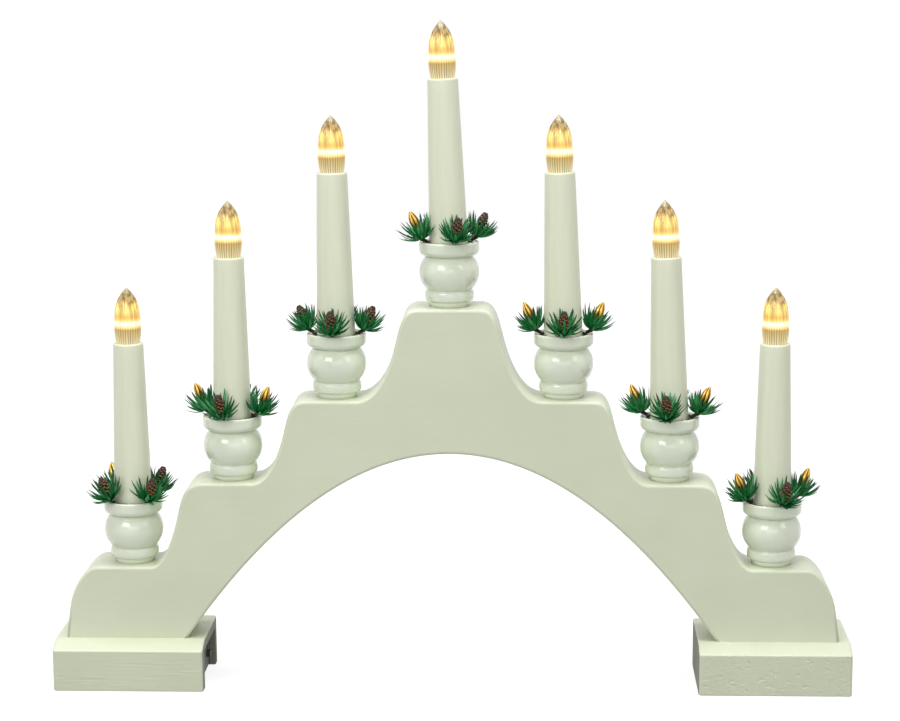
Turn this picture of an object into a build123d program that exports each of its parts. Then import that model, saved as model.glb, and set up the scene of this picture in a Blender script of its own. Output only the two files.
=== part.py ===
from build123d import *
import os
from math import atan2, cos, degrees, radians, sqrt, tan

# Wooden candle arch: a stepped board on two block feet carries turned cups, and each cup holds a
# plastic candle with a light under a clear flame and a ring of artificial pine round its foot.
# Millimetres. The table is at zero, +Z up, +X to the viewer's right, and the front faces -Y.

# Feet
overall_width = 400.0
foot_length = 76.0
foot_depth = 50.0
foot_height = 25.0
foot_bevel_drop = 4.0
foot_bevel_run = 9.5
foot_corner_round = 1.5

# Board and its ledges, counted from the middle one outwards
board_thickness = 30.0
board_end_inset = 5.5
arch_end_inset = 9.0
arch_height = 120.5
middle_ledge_height = 193.0
end_ledge_height = 62.0
end_candle_inset = 39.0
board_edge_round = 1.5
candle_place_shares = (0.0, 0.351, 0.68, 1.0)
ledge_rise_shares = (1.0, 0.65, 0.33, 0.0)
ledge_outer_runs = (14.5, 13.5, 12.0, 16.5)
ledge_inner_run = 10.3

# Flank between two ledges, in shares of its room: its place, its run and how full its curves are
flank_place_shares = (0.363, 0.409, 0.497)
flank_rise_share = 0.65
flank_run_share = 0.335
hollow_shares = (0.78, 0.49)
shoulder_shares = (0.85, 0.8)
end_flank_lean_degrees = 8.0
end_flank_straight_share = 0.43
end_shoulder_shares = (0.5, 0.55)

# Wiring routed in the board's back
groove_width = 8.0
groove_past_middle = 2.0
groove_over_arch = 8.5
groove_over_foot = 11.0
groove_end_run = 4.0
strip_width = 12.0
strip_thickness = 1.2
strip_side_gap = 0.1
wire_bore_radius = 2.5
lead_radius = 1.3
lead_hole_radius = 3.0
lead_station_shares = (1.0, 0.82, 0.62, 0.42, 0.2, 0.0, -0.2, -0.42, -0.62, -0.82, -0.93)
lead_arc_share = 0.45
lead_into_box = 3.5
core_radius = 0.6
core_spacing = 2.54
core_end_gap = 0.3

# Turned cup, each height counted up from the one below it
cup_neck_radius = 9.9
cup_neck_height = 3.0
cup_ring_radius = 12.2
cup_ring_height = 5.0
cup_ring_bulge = 0.5
cup_waist_radius = 11.3
cup_ball_radius = 14.85
cup_ball_height = 17.0
cup_throat_radius = 11.7
cup_rim_radius = 14.8
cup_rim_height = 7.2
cup_rim_curve_height = 3.2
cup_lip_width = 1.5
cup_lip_round = 0.7
cup_dish_depth = 3.4
cup_socket_depth = 7.0
cup_tenon_radius = 5.0
cup_tenon_length = 7.0
glue_gap = 0.15

# Candle tube, which leans a little in its loose socket
candle_top_height = 112.0
candle_bottom_radius = 9.85
candle_top_radius = 7.5
candle_wall = 1.2
candle_top_round = 1.0
candle_side_gap = 0.35
candle_seat_gap = 0.35
candle_lean_degrees = (0.0, 0.0, -0.6, -1.7, -1.3, -1.7, 0.0)

# Clear flame and the light inside it
flame_base_radius = 5.9
flame_belly_radius = 6.75
flame_belly_height = 10.5
flame_height = 27.8
flame_tip_radius = 0.5
flame_tip_height = 0.2
flame_plug_length = 6.0
flame_cavity_radius = 2.85
flame_fit_gap = 0.1
flame_swell_share = 0.35
flame_shoulder_height_share = 0.5
flame_taper_radius_share = 0.77
flame_taper_height_share = 0.71
led_radius = 2.5
led_flange_radius = 2.7
led_flange_height = 1.0
led_height = 8.6
led_base_height = 1.2
led_top_gap = 0.4
led_leg_width = 0.5
led_leg_length = 13.0

# Ring of artificial pine
ring_radius = 11.2
ring_wire_radius = 0.9
ring_below_lip = 0.85
sprig_count = 4
sprig_root_radius = 15.2
sprig_root_over_lip = 2.3
stem_radius = 0.6
hub_radius = 2.2
hub_height = 2.0
hub_height_shares = (-0.4, 0.55, 1.0)
hub_radius_shares = (0.45, 1.0, 0.6)
hub_side_count = 6
needle_start = 1.9
needle_base_width = 0.72
needle_tip_width = 0.6
near_needle_count = 9
near_needle_spread_degrees = 40.0
near_needle_length = 12.6
near_needle_shortening = 4.2
far_needle_angles_degrees = (60.0, 100.0, 140.0)
far_needle_spread_degrees = 57.0
far_needle_length = 9.6
cone_tilt_degrees = 27.0
cone_gap = 0.3
brown_cone_length = 8.8
brown_cone_radius = 3.15
gold_cone_length = 10.0
gold_cone_radius = 2.1
cone_height_shares = (0.0, 0.3, 0.66, 1.0)
cone_radius_shares = (0.3, 1.0, 0.82, 0.18)
cone_side_count = 8

# Each ring: where its first sprig points, turned from +X, and its cones, b for brown, g for gold
ring_turns_degrees = (-137.0, -104.0, -94.0, -74.0, -90.0, -99.0, -72.0)
ring_cone_kinds = ("bbbg", "bgbg", "bbgb", "bbgg", "bgbg", "bgbg", "bgbg")

# Battery foot, hollow from below and open at its inner end
pocket_wall = 6.0
pocket_top_wall = 5.0
pocket_end_wall = 4.0
box_side_gap = 1.0
box_end_gap = 0.5
box_recess = 3.0
box_floor_gap = 1.0
tape_thickness = 0.7
tape_length = 20.0
tape_width = 20.0
tape_spacing = 40.0

# Battery box and its sliding cover
box_wall = 1.5
box_top_wall = 1.2
box_partition = 1.2
switch_bay_length = 6.0
cover_lip = 0.8
cover_thickness = 1.4
cover_groove_depth = 0.7
cover_gap = 0.1
cover_rib_count = 5
cover_rib_pitch = 2.4
cover_rib_width = 1.2
cover_rib_length = 16.0
cover_rib_height = 0.5
cover_rib_inset = 6.0
cell_radius = 7.1
cell_length = 49.6
cell_spacing = 14.8
cell_cap_radius = 2.7
cell_cap_length = 0.9
contact_thickness = 0.4
contact_height = 9.0
contact_width = 10.0
contact_gap = 0.1
spring_wire = 0.8
spring_base_radius = 3.6
spring_tip_radius = 2.4
spring_turns = 3
spring_side_count = 4

# Slide switch in the box's inner end
switch_side_offset = 9.5
switch_width = 9.0
switch_height = 9.0
switch_gap = 0.1
knob_width = 3.0
knob_height = 3.2
knob_proud = 1.8
knob_depth = 3.0
knob_travel = 3.0
knob_gap = 0.2

# Screws that hold the board on its feet
screw_pitch = 44.0
screw_head_radius = 3.4
screw_head_height = 2.0
screw_shank_radius = 1.75
screw_tip_length = 3.0
screw_length_in_board = 20.0
screw_head_recess = 0.4
screw_gap = 0.05

cut_overrun = 1.0

# Places that several pieces share
half_width = overall_width / 2
foot_inner_end = half_width - foot_length
board_half_length = half_width - board_end_inset
arch_half_span = foot_inner_end + arch_end_inset
end_candle_place = half_width - end_candle_inset
candle_places = [end_candle_place * share for share in candle_place_shares]
ledge_heights = [
    end_ledge_height + (middle_ledge_height - end_ledge_height) * share
    for share in ledge_rise_shares
]
groove_top_height = arch_height + groove_over_arch
groove_end_height = foot_height + groove_over_foot
groove_drop = (groove_top_height - groove_end_height) / end_candle_place**2
cup_ball_foot = cup_neck_height + cup_ring_height
cup_throat_height = cup_ball_foot + cup_ball_height
cup_height = cup_throat_height + cup_rim_height
cup_dish_floor = cup_height - cup_dish_depth
cup_socket_floor = cup_dish_floor - cup_socket_depth
cup_socket_radius = candle_bottom_radius + candle_side_gap
candle_seat_height = cup_socket_floor + candle_seat_gap
candle_length = candle_top_height - candle_seat_height
flame_hole_radius = flame_base_radius + flame_fit_gap
flame_cavity_top = led_base_height + led_height + led_top_gap
pocket_ceiling = foot_height - pocket_top_wall
box_top = pocket_ceiling - tape_thickness
box_inner_end = -foot_inner_end - box_recess
box_outer_end = -half_width + pocket_end_wall + box_end_gap
box_length = box_inner_end - box_outer_end
box_width = foot_depth - 2 * pocket_wall - 2 * box_side_gap
box_height = box_top - box_floor_gap
box_middle = (box_inner_end + box_outer_end) / 2
cover_bottom = box_floor_gap + cover_lip + cover_gap
cover_top = cover_bottom + cover_thickness
bay_floor = cover_top + cover_gap
bay_ceiling = box_top - box_top_wall
bay_height = bay_ceiling - bay_floor
bay_width = box_width - 2 * box_wall
battery_bay_outer_end = box_outer_end + box_wall
battery_bay_inner_end = box_inner_end - box_wall - switch_bay_length - box_partition
cell_height = (bay_floor + bay_ceiling) / 2
knob_place = (box_inner_end, switch_side_offset, cell_height - knob_travel / 2)


def candles():
    """Number, sideways place and ledge height of each candle, from the viewer's left."""
    order = [3, 2, 1, 0, 1, 2, 3]
    sides = [-1, -1, -1, 0, 1, 1, 1]
    for number, (ledge, side) in enumerate(zip(order, sides), start=1):
        yield number, side * candle_places[ledge], ledge_heights[ledge]


def block(length, width, height, place):
    """Square-edged block centred on place, with its underside at place's height."""
    return Pos(*place) * Box(length, width, height, align=(Align.CENTER, Align.CENTER, Align.MIN))


def rod(radius, height, place):
    """Upright round rod that stands on place."""
    return Pos(*place) * Cylinder(radius, height, align=(Align.CENTER, Align.CENTER, Align.MIN))


def turned(outline):
    """Solid turned on +Z from closed edges drawn as radius and height."""
    return revolve(make_face(Plane.XZ * (Curve() + outline)), Axis.Z)


def between(start, end, share):
    """Point at a share of the way from start to end."""
    return tuple(a + (b - a) * share for a, b in zip(start, end))


# Board

def rounded_corner(start, corner, end, shares):
    """Curve that leaves start and reaches end along the two lines that meet at corner."""
    return Bezier(start, between(start, corner, shares[0]), between(end, corner, shares[1]), end)


def step(lower_end, upper_end, place_share):
    """Flank between two ledges: a hollow at its foot and a fuller shoulder at its head."""
    room = lower_end[0] - upper_end[0]
    rise = upper_end[1] - lower_end[1]
    run = flank_run_share * room
    turn = (upper_end[0] + place_share * room, lower_end[1] + flank_rise_share * rise)
    foot = (turn[0] + flank_rise_share * run, lower_end[1])
    head = (turn[0] - (1 - flank_rise_share) * run, upper_end[1])
    hollow = rounded_corner(lower_end, foot, turn, hollow_shares)
    shoulder = rounded_corner(turn, head, upper_end, shoulder_shares)
    return [hollow, shoulder]


def right_outline():
    """Top edge of the board's right half, from its bottom corner to the middle."""
    corner = (board_half_length, foot_height)
    slope = tan(radians(end_flank_lean_degrees))
    rise = end_ledge_height - foot_height
    straight_end = between(
        corner, (corner[0] - rise * slope, end_ledge_height), end_flank_straight_share
    )
    ledge_corner = (corner[0] - rise * slope, end_ledge_height)
    outer_end = (candle_places[3] + ledge_outer_runs[3], end_ledge_height)
    edges = [
        Line(corner, straight_end),
        rounded_corner(straight_end, ledge_corner, outer_end, end_shoulder_shares),
    ]
    for ledge in (3, 2, 1):
        height = ledge_heights[ledge]
        outer_end = (candle_places[ledge] + ledge_outer_runs[ledge], height)
        inner_end = (candle_places[ledge] - ledge_inner_run, height)
        upper_end = (candle_places[ledge - 1] + ledge_outer_runs[ledge - 1], ledge_heights[ledge - 1])
        edges.append(Line(outer_end, inner_end))
        edges += step(inner_end, upper_end, flank_place_shares[ledge - 1])
    edges.append(Line((ledge_outer_runs[0], middle_ledge_height), (0, middle_ledge_height)))
    return edges


def board_blank():
    """Sawn board with its stepped top, its arch and softly rounded long edges."""
    right = Curve() + right_outline()
    left = mirror(right, about=Plane.YZ)
    arch_control = (0, 2 * arch_height - foot_height)
    arch = Bezier((-arch_half_span, foot_height), arch_control, (arch_half_span, foot_height))
    right_bottom = Line((arch_half_span, foot_height), (board_half_length, foot_height))
    left_bottom = Line((-board_half_length, foot_height), (-arch_half_span, foot_height))
    outline = make_face(Curve() + [*right.edges(), *left.edges(), arch, right_bottom, left_bottom])
    board = extrude(Plane.XZ * outline, board_thickness / 2, both=True)
    faces = board.faces().sort_by(Axis.Y)
    long_edges = [
        edge
        for face in (faces[0], faces[-1])
        for edge in face.edges()
        if edge.center().Z > foot_height + board_edge_round
    ]
    return fillet(long_edges, board_edge_round)


def groove_height(place):
    """Height of the wiring groove's middle line at a sideways place."""
    return groove_top_height - groove_drop * place**2


def groove_band(width, depth):
    """Band of the groove's course, cut to a depth from the board's back face."""
    end = end_candle_place + groove_end_run
    end_height = groove_height(end)
    course = Bezier((-end, end_height), (0, 2 * groove_top_height - end_height), (end, end_height))
    back = Plane((0, board_thickness / 2, 0), x_dir=(1, 0, 0), z_dir=(0, -1, 0))
    return extrude(back * trace(course, width), depth)


def screw_places():
    """Sideways place and seat height of each screw, left foot first."""
    for side, seat in ((-1, pocket_ceiling), (1, screw_head_recess)):
        for end in (-1, 1):
            yield side * (half_width - foot_length / 2) + end * screw_pitch / 2, seat


def screw(place, seat, gap):
    """Countersunk wood screw driven up from its seat, or the hole for it with a gap."""
    tip = foot_height + screw_length_in_board
    neck = seat + screw_head_height
    points = [
        (0, seat),
        (screw_head_radius + gap, seat),
        (screw_shank_radius + gap, neck),
        (screw_shank_radius + gap, tip - screw_tip_length),
        (0, tip + gap),
    ]
    return Pos(place, 0, 0) * turned([Polyline(*points, close=True)])


def screw_hole(place, seat):
    """Hole for a screw, opened down past its seat."""
    mouth = rod(screw_head_radius + screw_gap, cut_overrun + seat, (place, 0, -cut_overrun))
    if seat > screw_head_recess:
        mouth = rod(screw_head_radius + screw_gap, cut_overrun, (place, 0, seat - cut_overrun))
    return screw(place, seat, screw_gap) + mouth


def arch_board():
    """Board with the bores under its cups, the groove in its back and its screw holes."""
    board = board_blank()
    board -= groove_band(groove_width, board_thickness / 2 + groove_past_middle)
    board -= groove_band(strip_width, strip_thickness)
    for _, place, ledge in candles():
        groove = groove_height(place)
        tenon_floor = ledge - cup_tenon_length - glue_gap
        bore_depth = ledge - tenon_floor + cut_overrun
        board -= rod(cup_tenon_radius + glue_gap, bore_depth, (place, 0, tenon_floor))
        board -= rod(wire_bore_radius, ledge - groove, (place, 0, groove))
    shaft_bottom = foot_height - cut_overrun
    board -= rod(lead_hole_radius, groove_end_height - shaft_bottom, (-end_candle_place, 0, shaft_bottom))
    for place, seat in screw_places():
        board -= screw_hole(place, seat)
    return board


def groove_strip():
    """Thin strip let into the board's back over the groove."""
    return groove_band(strip_width - 2 * strip_side_gap, strip_thickness)


# Feet

def foot_blank():
    """Planed block with a wide bevel along its top front edge, its length along X."""
    front = -foot_depth / 2
    profile = Polyline(
        (front, 0),
        (front, foot_height - foot_bevel_drop),
        (front + foot_bevel_run, foot_height),
        (foot_depth / 2, foot_height),
        (foot_depth / 2, 0),
        close=True,
    )
    foot = extrude(Plane.YZ * make_face(profile), foot_length / 2, both=True)
    return fillet(foot.edges().filter_by(Axis.Z), foot_corner_round)


def right_foot():
    """Solid foot, drilled for the screws that hold the board."""
    foot = Pos(half_width - foot_length / 2, 0, 0) * foot_blank()
    for place, seat in list(screw_places())[2:]:
        foot -= screw_hole(place, seat)
    return foot


def left_foot():
    """Battery foot: hollowed from below, open at its inner end and drilled for the lead."""
    foot = Pos(foot_length / 2 - half_width, 0, 0) * foot_blank()
    pocket_length = foot_length - pocket_end_wall + cut_overrun
    pocket_outer_end = -half_width + pocket_end_wall
    pocket_place = (pocket_outer_end + pocket_length / 2, 0, -cut_overrun)
    foot -= block(pocket_length, foot_depth - 2 * pocket_wall, pocket_ceiling + cut_overrun, pocket_place)
    foot -= rod(lead_hole_radius, foot_height, (-end_candle_place, 0, cut_overrun))
    for place, seat in list(screw_places())[:2]:
        foot -= screw_hole(place, seat)
    return foot


def foot_screws():
    """The four screws, two in each foot."""
    return Compound([screw(place, seat, 0).solid() for place, seat in screw_places()])


# Cups and candles

def cup():
    """Turned cup on its tenon: neck, ring, ball and a flared rim with a dish and a socket."""
    ring_side = cup_ring_radius - cup_ring_bulge
    ring_middle = cup_neck_height + cup_ring_height / 2
    ball_middle = cup_ball_foot + cup_ball_height / 2
    rim_foot = cup_throat_height + cup_rim_curve_height
    lip_inner = cup_rim_radius - cup_lip_width
    rim_bend = between((cup_throat_radius, cup_throat_height), (cup_rim_radius, rim_foot), 1 / 2)
    rim_bend = (rim_bend[0] + cup_lip_round, rim_bend[1] - cup_lip_round)
    return turned(
        [
            Line((wire_bore_radius, -cup_tenon_length), (cup_tenon_radius, -cup_tenon_length)),
            Line((cup_tenon_radius, -cup_tenon_length), (cup_tenon_radius, 0)),
            Line((cup_tenon_radius, 0), (cup_neck_radius, 0)),
            Line((cup_neck_radius, 0), (cup_neck_radius, cup_neck_height)),
            Line((cup_neck_radius, cup_neck_height), (ring_side, cup_neck_height)),
            ThreePointArc(
                (ring_side, cup_neck_height), (cup_ring_radius, ring_middle), (ring_side, cup_ball_foot)
            ),
            Line((ring_side, cup_ball_foot), (cup_waist_radius, cup_ball_foot)),
            ThreePointArc(
                (cup_waist_radius, cup_ball_foot),
                (cup_ball_radius, ball_middle),
                (cup_throat_radius, cup_throat_height),
            ),
            ThreePointArc((cup_throat_radius, cup_throat_height), rim_bend, (cup_rim_radius, rim_foot)),
            Line((cup_rim_radius, rim_foot), (cup_rim_radius, cup_height - cup_lip_round)),
            Bezier(
                (cup_rim_radius, cup_height - cup_lip_round),
                (cup_rim_radius, cup_height),
                (cup_rim_radius - cup_lip_round, cup_height),
            ),
            Line((cup_rim_radius - cup_lip_round, cup_height), (lip_inner, cup_height)),
            Line((lip_inner, cup_height), (cup_socket_radius, cup_dish_floor)),
            Line((cup_socket_radius, cup_dish_floor), (cup_socket_radius, cup_socket_floor)),
            Line((cup_socket_radius, cup_socket_floor), (wire_bore_radius, cup_socket_floor)),
            Line((wire_bore_radius, cup_socket_floor), (wire_bore_radius, -cup_tenon_length)),
        ]
    )


def candle_tube():
    """Tapered plastic tube with a rounded top that holds the flame's plug."""
    inner_bottom = candle_bottom_radius - candle_wall
    inner_top = candle_top_radius - candle_wall
    top_corner = candle_top_radius - candle_top_round
    ceiling = candle_length - candle_wall
    return turned(
        [
            Line((inner_bottom, 0), (candle_bottom_radius, 0)),
            Line((candle_bottom_radius, 0), (candle_top_radius, candle_length - candle_top_round)),
            Bezier(
                (candle_top_radius, candle_length - candle_top_round),
                (candle_top_radius, candle_length),
                (top_corner, candle_length),
            ),
            Line((top_corner, candle_length), (flame_hole_radius, candle_length)),
            Line((flame_hole_radius, candle_length), (flame_hole_radius, ceiling)),
            Line((flame_hole_radius, ceiling), (inner_top, ceiling)),
            Line((inner_top, ceiling), (inner_bottom, 0)),
        ]
    )


def flame_lens():
    """Clear flame on a plug, drawn from the candle's top, with a blind hole for its light."""
    belly = (flame_belly_radius, flame_belly_height)
    tip = (flame_tip_radius, flame_height - flame_tip_height)
    taper = tip[1] - flame_belly_height
    swell = (flame_belly_radius, flame_belly_height * flame_swell_share)
    shoulder = (flame_belly_radius, flame_belly_height + taper * flame_shoulder_height_share)
    narrowing = (
        flame_belly_radius * flame_taper_radius_share,
        flame_belly_height + taper * flame_taper_height_share,
    )
    dome_foot = flame_cavity_top - flame_cavity_radius
    dome_bend = flame_cavity_radius / sqrt(2)
    return turned(
        [
            Line((flame_cavity_radius, -flame_plug_length), (flame_base_radius, -flame_plug_length)),
            Line((flame_base_radius, -flame_plug_length), (flame_base_radius, 0)),
            Bezier((flame_base_radius, 0), swell, belly),
            Bezier(belly, shoulder, narrowing, tip),
            Line(tip, (0, flame_height)),
            Line((0, flame_height), (0, flame_cavity_top)),
            ThreePointArc(
                (0, flame_cavity_top),
                (dome_bend, dome_foot + dome_bend),
                (flame_cavity_radius, dome_foot),
            ),
            Line((flame_cavity_radius, dome_foot), (flame_cavity_radius, -flame_plug_length)),
        ]
    )


def led():
    """Domed light with a flange and two legs, drawn from the candle's top."""
    top = led_base_height + led_height
    dome_foot = top - led_radius
    dome_bend = led_radius / sqrt(2)
    flange_top = led_base_height + led_flange_height
    body = turned(
        [
            Line((0, led_base_height), (led_flange_radius, led_base_height)),
            Line((led_flange_radius, led_base_height), (led_flange_radius, flange_top)),
            Line((led_flange_radius, flange_top), (led_radius, flange_top)),
            Line((led_radius, flange_top), (led_radius, dome_foot)),
            ThreePointArc((led_radius, dome_foot), (dome_bend, dome_foot + dome_bend), (0, top)),
            Line((0, top), (0, led_base_height)),
        ]
    )
    for side in (-1, 1):
        leg_place = (0, side * core_spacing / 2, led_base_height - led_leg_length)
        body += block(led_leg_width, led_leg_width, led_leg_length, leg_place)
    return body


def on_candle(number, place, ledge):
    """Frame of a leaning candle, with its origin on the candle's seat in the cup."""
    return Pos(place, 0, ledge + candle_seat_height) * Rot(0, candle_lean_degrees[number - 1], 0)


def core_wires():
    """Two wires in each candle, from the light's legs down to the lead in the board."""
    wires = []
    leg_end = candle_length + led_base_height - led_leg_length
    for number, place, ledge in candles():
        slope = 2 * groove_drop * place
        lead_top = groove_height(place) + lead_radius * sqrt(1 + slope**2)
        lower_end = lead_top + core_end_gap
        for side in (-1, 1):
            offset = side * core_spacing / 2
            upper = on_candle(number, place, ledge) * rod(core_radius, leg_end, (0, offset, 0))
            seat = ledge + candle_seat_height
            wires.append(upper + rod(core_radius, seat - lower_end, (place, offset, lower_end)))
    return Compound([wire.solid() for wire in wires])


def main_lead():
    """Lead that runs along the groove and down through the left foot into the battery box."""
    places = [end_candle_place * share for share in lead_station_shares]
    route = [Vector(place, 0, groove_height(place)) for place in places]
    route.append(Vector(-end_candle_place, 0, groove_end_height))
    route.append(Vector(-end_candle_place, 0, box_top - lead_into_box))
    runs = [end - start for start, end in zip(route, route[1:])]
    radii = []
    for before, after in zip(runs, runs[1:]):
        half_turn = radians(before.get_angle(after)) / 2
        radii.append(lead_arc_share * min(before.length, after.length) / tan(half_turn))
    path = FilletPolyline(*route, radius=radii)
    print("main lead bend radii", [round(radius, 1) for radius in radii])
    print("main lead length", round(path.length, 1))
    return sweep(Plane(path @ 0, z_dir=path % 0) * Circle(lead_radius), path=path)


# Pine rings and cones

def sprig_frame(index):
    """Frame at a sprig's root: +X points outwards and +Z up, on a ring at the cup's ledge."""
    turn = Rot(0, 0, index * 360 / sprig_count)
    return turn * Pos(sprig_root_radius, 0, cup_height + sprig_root_over_lip)


def needle(spread, around, length):
    """Four-sided tapered needle that leaves the hub at an angle off the cone's line."""
    frame = Rot(0, 0, around) * Rot(0, spread, 0)
    base = Pos(0, 0, needle_start) * Rectangle(needle_base_width, needle_base_width)
    tip = Pos(0, 0, needle_start + length) * Rectangle(needle_tip_width, needle_tip_width)
    return frame * loft([base, tip], ruled=True)


def sprig():
    """Fan of needles on a small hub, with the stem that ties it to the wire ring."""
    sections = [
        Pos(0, 0, hub_height * height_share) * RegularPolygon(hub_radius * radius_share, hub_side_count)
        for height_share, radius_share in zip(hub_height_shares, hub_radius_shares)
    ]
    hub = loft(sections, ruled=True)
    needles = []
    for index in range(near_needle_count):
        around = index * 360 / near_needle_count
        outward_share = (1 + cos(radians(around))) / 2
        length = near_needle_length - near_needle_shortening * outward_share
        needles.append(needle(near_needle_spread_degrees, around, length))
    for angle in far_needle_angles_degrees:
        for side in (-1, 1):
            needles.append(needle(far_needle_spread_degrees, side * angle, far_needle_length))
    fan = Rot(0, cone_tilt_degrees, 0) * hub.fuse(*needles)
    to_ring = Vector(ring_radius - sprig_root_radius, 0, -sprig_root_over_lip)
    stem = extrude(RegularPolygon(stem_radius, hub_side_count), to_ring.length)
    return Plane((0, 0, 0), z_dir=to_ring) * stem + fan


def pine_ring():
    """Wire ring with its four sprigs, drawn from the cup's ledge."""
    wire = Pos(ring_radius, 0, cup_height - ring_below_lip) * Rot(90, 0, 0) * Circle(ring_wire_radius)
    ring = revolve(wire, Axis.Z)
    one = sprig()
    return ring.fuse(*[sprig_frame(index) * one for index in range(sprig_count)])


def cone(length, radius):
    """Small pine cone on its stalk end, as wide as radius and tapering to its tip."""
    sections = [
        Pos(0, 0, length * height_share) * RegularPolygon(radius * radius_share, cone_side_count)
        for height_share, radius_share in zip(cone_height_shares, cone_radius_shares)
    ]
    return loft(sections, ruled=True)


def cones(kind, length, radius):
    """Every cone of one kind on the rings, each in the middle of its sprig."""
    shape = cone(length, radius)
    seat = Rot(0, cone_tilt_degrees, 0) * Pos(0, 0, hub_height + cone_gap)
    placed = []
    for number, place, ledge in candles():
        ring = Pos(place, 0, ledge) * Rot(0, 0, ring_turns_degrees[number - 1])
        for index, ring_kind in enumerate(ring_cone_kinds[number - 1]):
            if ring_kind == kind:
                placed.append((ring * sprig_frame(index) * seat * shape).solid())
    return Compound(placed)


# Battery box

def battery_box():
    """Black tray, open below, with a bay for two cells and a bay for the switch."""
    box = block(box_length, box_width, box_height, (box_middle, 0, box_floor_gap))
    bay_length = battery_bay_inner_end - battery_bay_outer_end
    bay_middle = (battery_bay_inner_end + battery_bay_outer_end) / 2
    cut_height = bay_ceiling - box_floor_gap + cut_overrun
    cut_floor = box_floor_gap - cut_overrun
    box -= block(bay_length, bay_width, cut_height, (bay_middle, 0, cut_floor))
    switch_middle = box_inner_end - box_wall - switch_bay_length / 2
    box -= block(switch_bay_length, bay_width, cut_height, (switch_middle, 0, cut_floor))
    channel_length = box_length - box_wall + cut_overrun
    channel_middle = box_outer_end + box_wall + channel_length / 2
    channel_width = bay_width + 2 * cover_groove_depth
    channel_height = cover_thickness + 2 * cover_gap
    channel_floor = cover_bottom - cover_gap
    box -= block(channel_length, channel_width, channel_height, (channel_middle, 0, channel_floor))
    mouth_height = channel_floor - cut_floor
    box -= block(channel_length, bay_width, mouth_height, (channel_middle, 0, cut_floor))
    slot_height = knob_height + knob_travel + 2 * knob_gap
    slot_middle = knob_place[2] + knob_travel / 2
    slot_place = (box_inner_end, switch_side_offset, slot_middle - slot_height / 2)
    box -= block(2 * box_wall + 2 * cut_overrun, knob_width + 2 * knob_gap, slot_height, slot_place)
    lead_hole_place = (-end_candle_place, 0, bay_ceiling - cut_overrun)
    box -= rod(lead_radius + glue_gap, box_top_wall + 2 * cut_overrun, lead_hole_place)
    return box


def battery_cover():
    """Cover that slides out of the foot's open end, with ribs for a thumb."""
    length = box_length - box_wall - cover_gap
    place = box_inner_end - length / 2
    width = bay_width + 2 * cover_groove_depth - 2 * cover_gap
    cover = block(length, width, cover_thickness, (place, 0, cover_bottom))
    for index in range(cover_rib_count):
        rib_place = box_inner_end - cover_rib_inset - index * cover_rib_pitch
        cover += block(
            cover_rib_width,
            cover_rib_length,
            cover_rib_height + cover_thickness / 2,
            (rib_place, 0, cover_bottom - cover_rib_height),
        )
    return cover


def cell_lengthwise(side):
    """Frame of a cell: its cap points to the box's inner end for side -1, and outwards for 1."""
    plus_end = battery_bay_inner_end - contact_thickness - 2 * contact_gap
    minus_end = battery_bay_outer_end + contact_thickness + 2 * contact_gap
    place = plus_end if side < 0 else minus_end
    return Pos(place, side * cell_spacing / 2, cell_height) * Rot(0, 90 * side, 0)


def battery(side):
    """Cell lying along the box, drawn from its cap's tip away from its contact."""
    cap = rod(cell_cap_radius, 2 * cell_cap_length, (0, 0, 0))
    body = rod(cell_radius, cell_length, (0, 0, cell_cap_length))
    return cell_lengthwise(side) * (cap + body)


def contact_plates():
    """Flat contacts at the ends of the bay: one behind each cap and one behind each spring."""
    plates = []
    bottom = cell_height - contact_height / 2
    for end, direction in ((battery_bay_inner_end, -1), (battery_bay_outer_end, 1)):
        for side in (-1, 1):
            middle = end + direction * (contact_gap + contact_thickness / 2)
            place = (middle, side * cell_spacing / 2, bottom)
            plates.append(block(contact_thickness, contact_width, contact_height, place).solid())
    return Compound(plates)


def contact_springs():
    """Conical springs that press on the flat end of each cell."""
    bay_length = battery_bay_inner_end - battery_bay_outer_end
    plate_room = 2 * contact_thickness + 4 * contact_gap
    height = bay_length - plate_room - cell_cap_length - cell_length - spring_wire - contact_gap
    lean = degrees(atan2(spring_base_radius - spring_tip_radius, height))
    springs = []
    for side in (-1, 1):
        course = Helix(height / spring_turns, height, spring_base_radius, cone_angle=-lean)
        section = Plane(course @ 0, z_dir=course % 0) * RegularPolygon(spring_wire / 2, spring_side_count)
        spring = sweep(section, path=course, is_frenet=True)
        seat = bay_length - plate_room - spring_wire / 2
        springs.append((cell_lengthwise(side) * Pos(0, 0, seat) * Rot(180, 0, 0) * spring).solid())
    return Compound(springs)


def box_tape():
    """Two pads of double-sided tape between the box and the ceiling of the foot's pocket."""
    pads = [
        block(tape_length, tape_width, tape_thickness, (box_middle + side * tape_spacing / 2, 0, box_top))
        for side in (-1, 1)
    ]
    return Compound([pad.solid() for pad in pads])


def switch_body():
    """Slide switch's case, behind the slot in the box's inner end."""
    case_length = switch_bay_length - 2 * switch_gap
    middle = box_inner_end - box_wall - switch_bay_length / 2
    bottom = cell_height - switch_height / 2
    case = block(case_length, switch_width, switch_height, (middle, switch_side_offset, bottom))
    slot_height = knob_height + knob_travel + 2 * knob_gap
    slot_middle = knob_place[2] + knob_travel / 2
    slot_place = (box_inner_end - box_wall, switch_side_offset, slot_middle - slot_height / 2)
    slot_length = 2 * (knob_depth + knob_gap)
    return case - block(slot_length, knob_width + 2 * knob_gap, slot_height, slot_place)


def switch_knob():
    """Square knob that slides up and down in the slot; down is on."""
    length = knob_proud + box_wall + knob_depth
    middle = box_inner_end + knob_proud - length / 2
    place = (middle, switch_side_offset, knob_place[2] - knob_height / 2)
    return block(length, knob_width, knob_height, place)


os.makedirs("parts", exist_ok=True)

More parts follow.
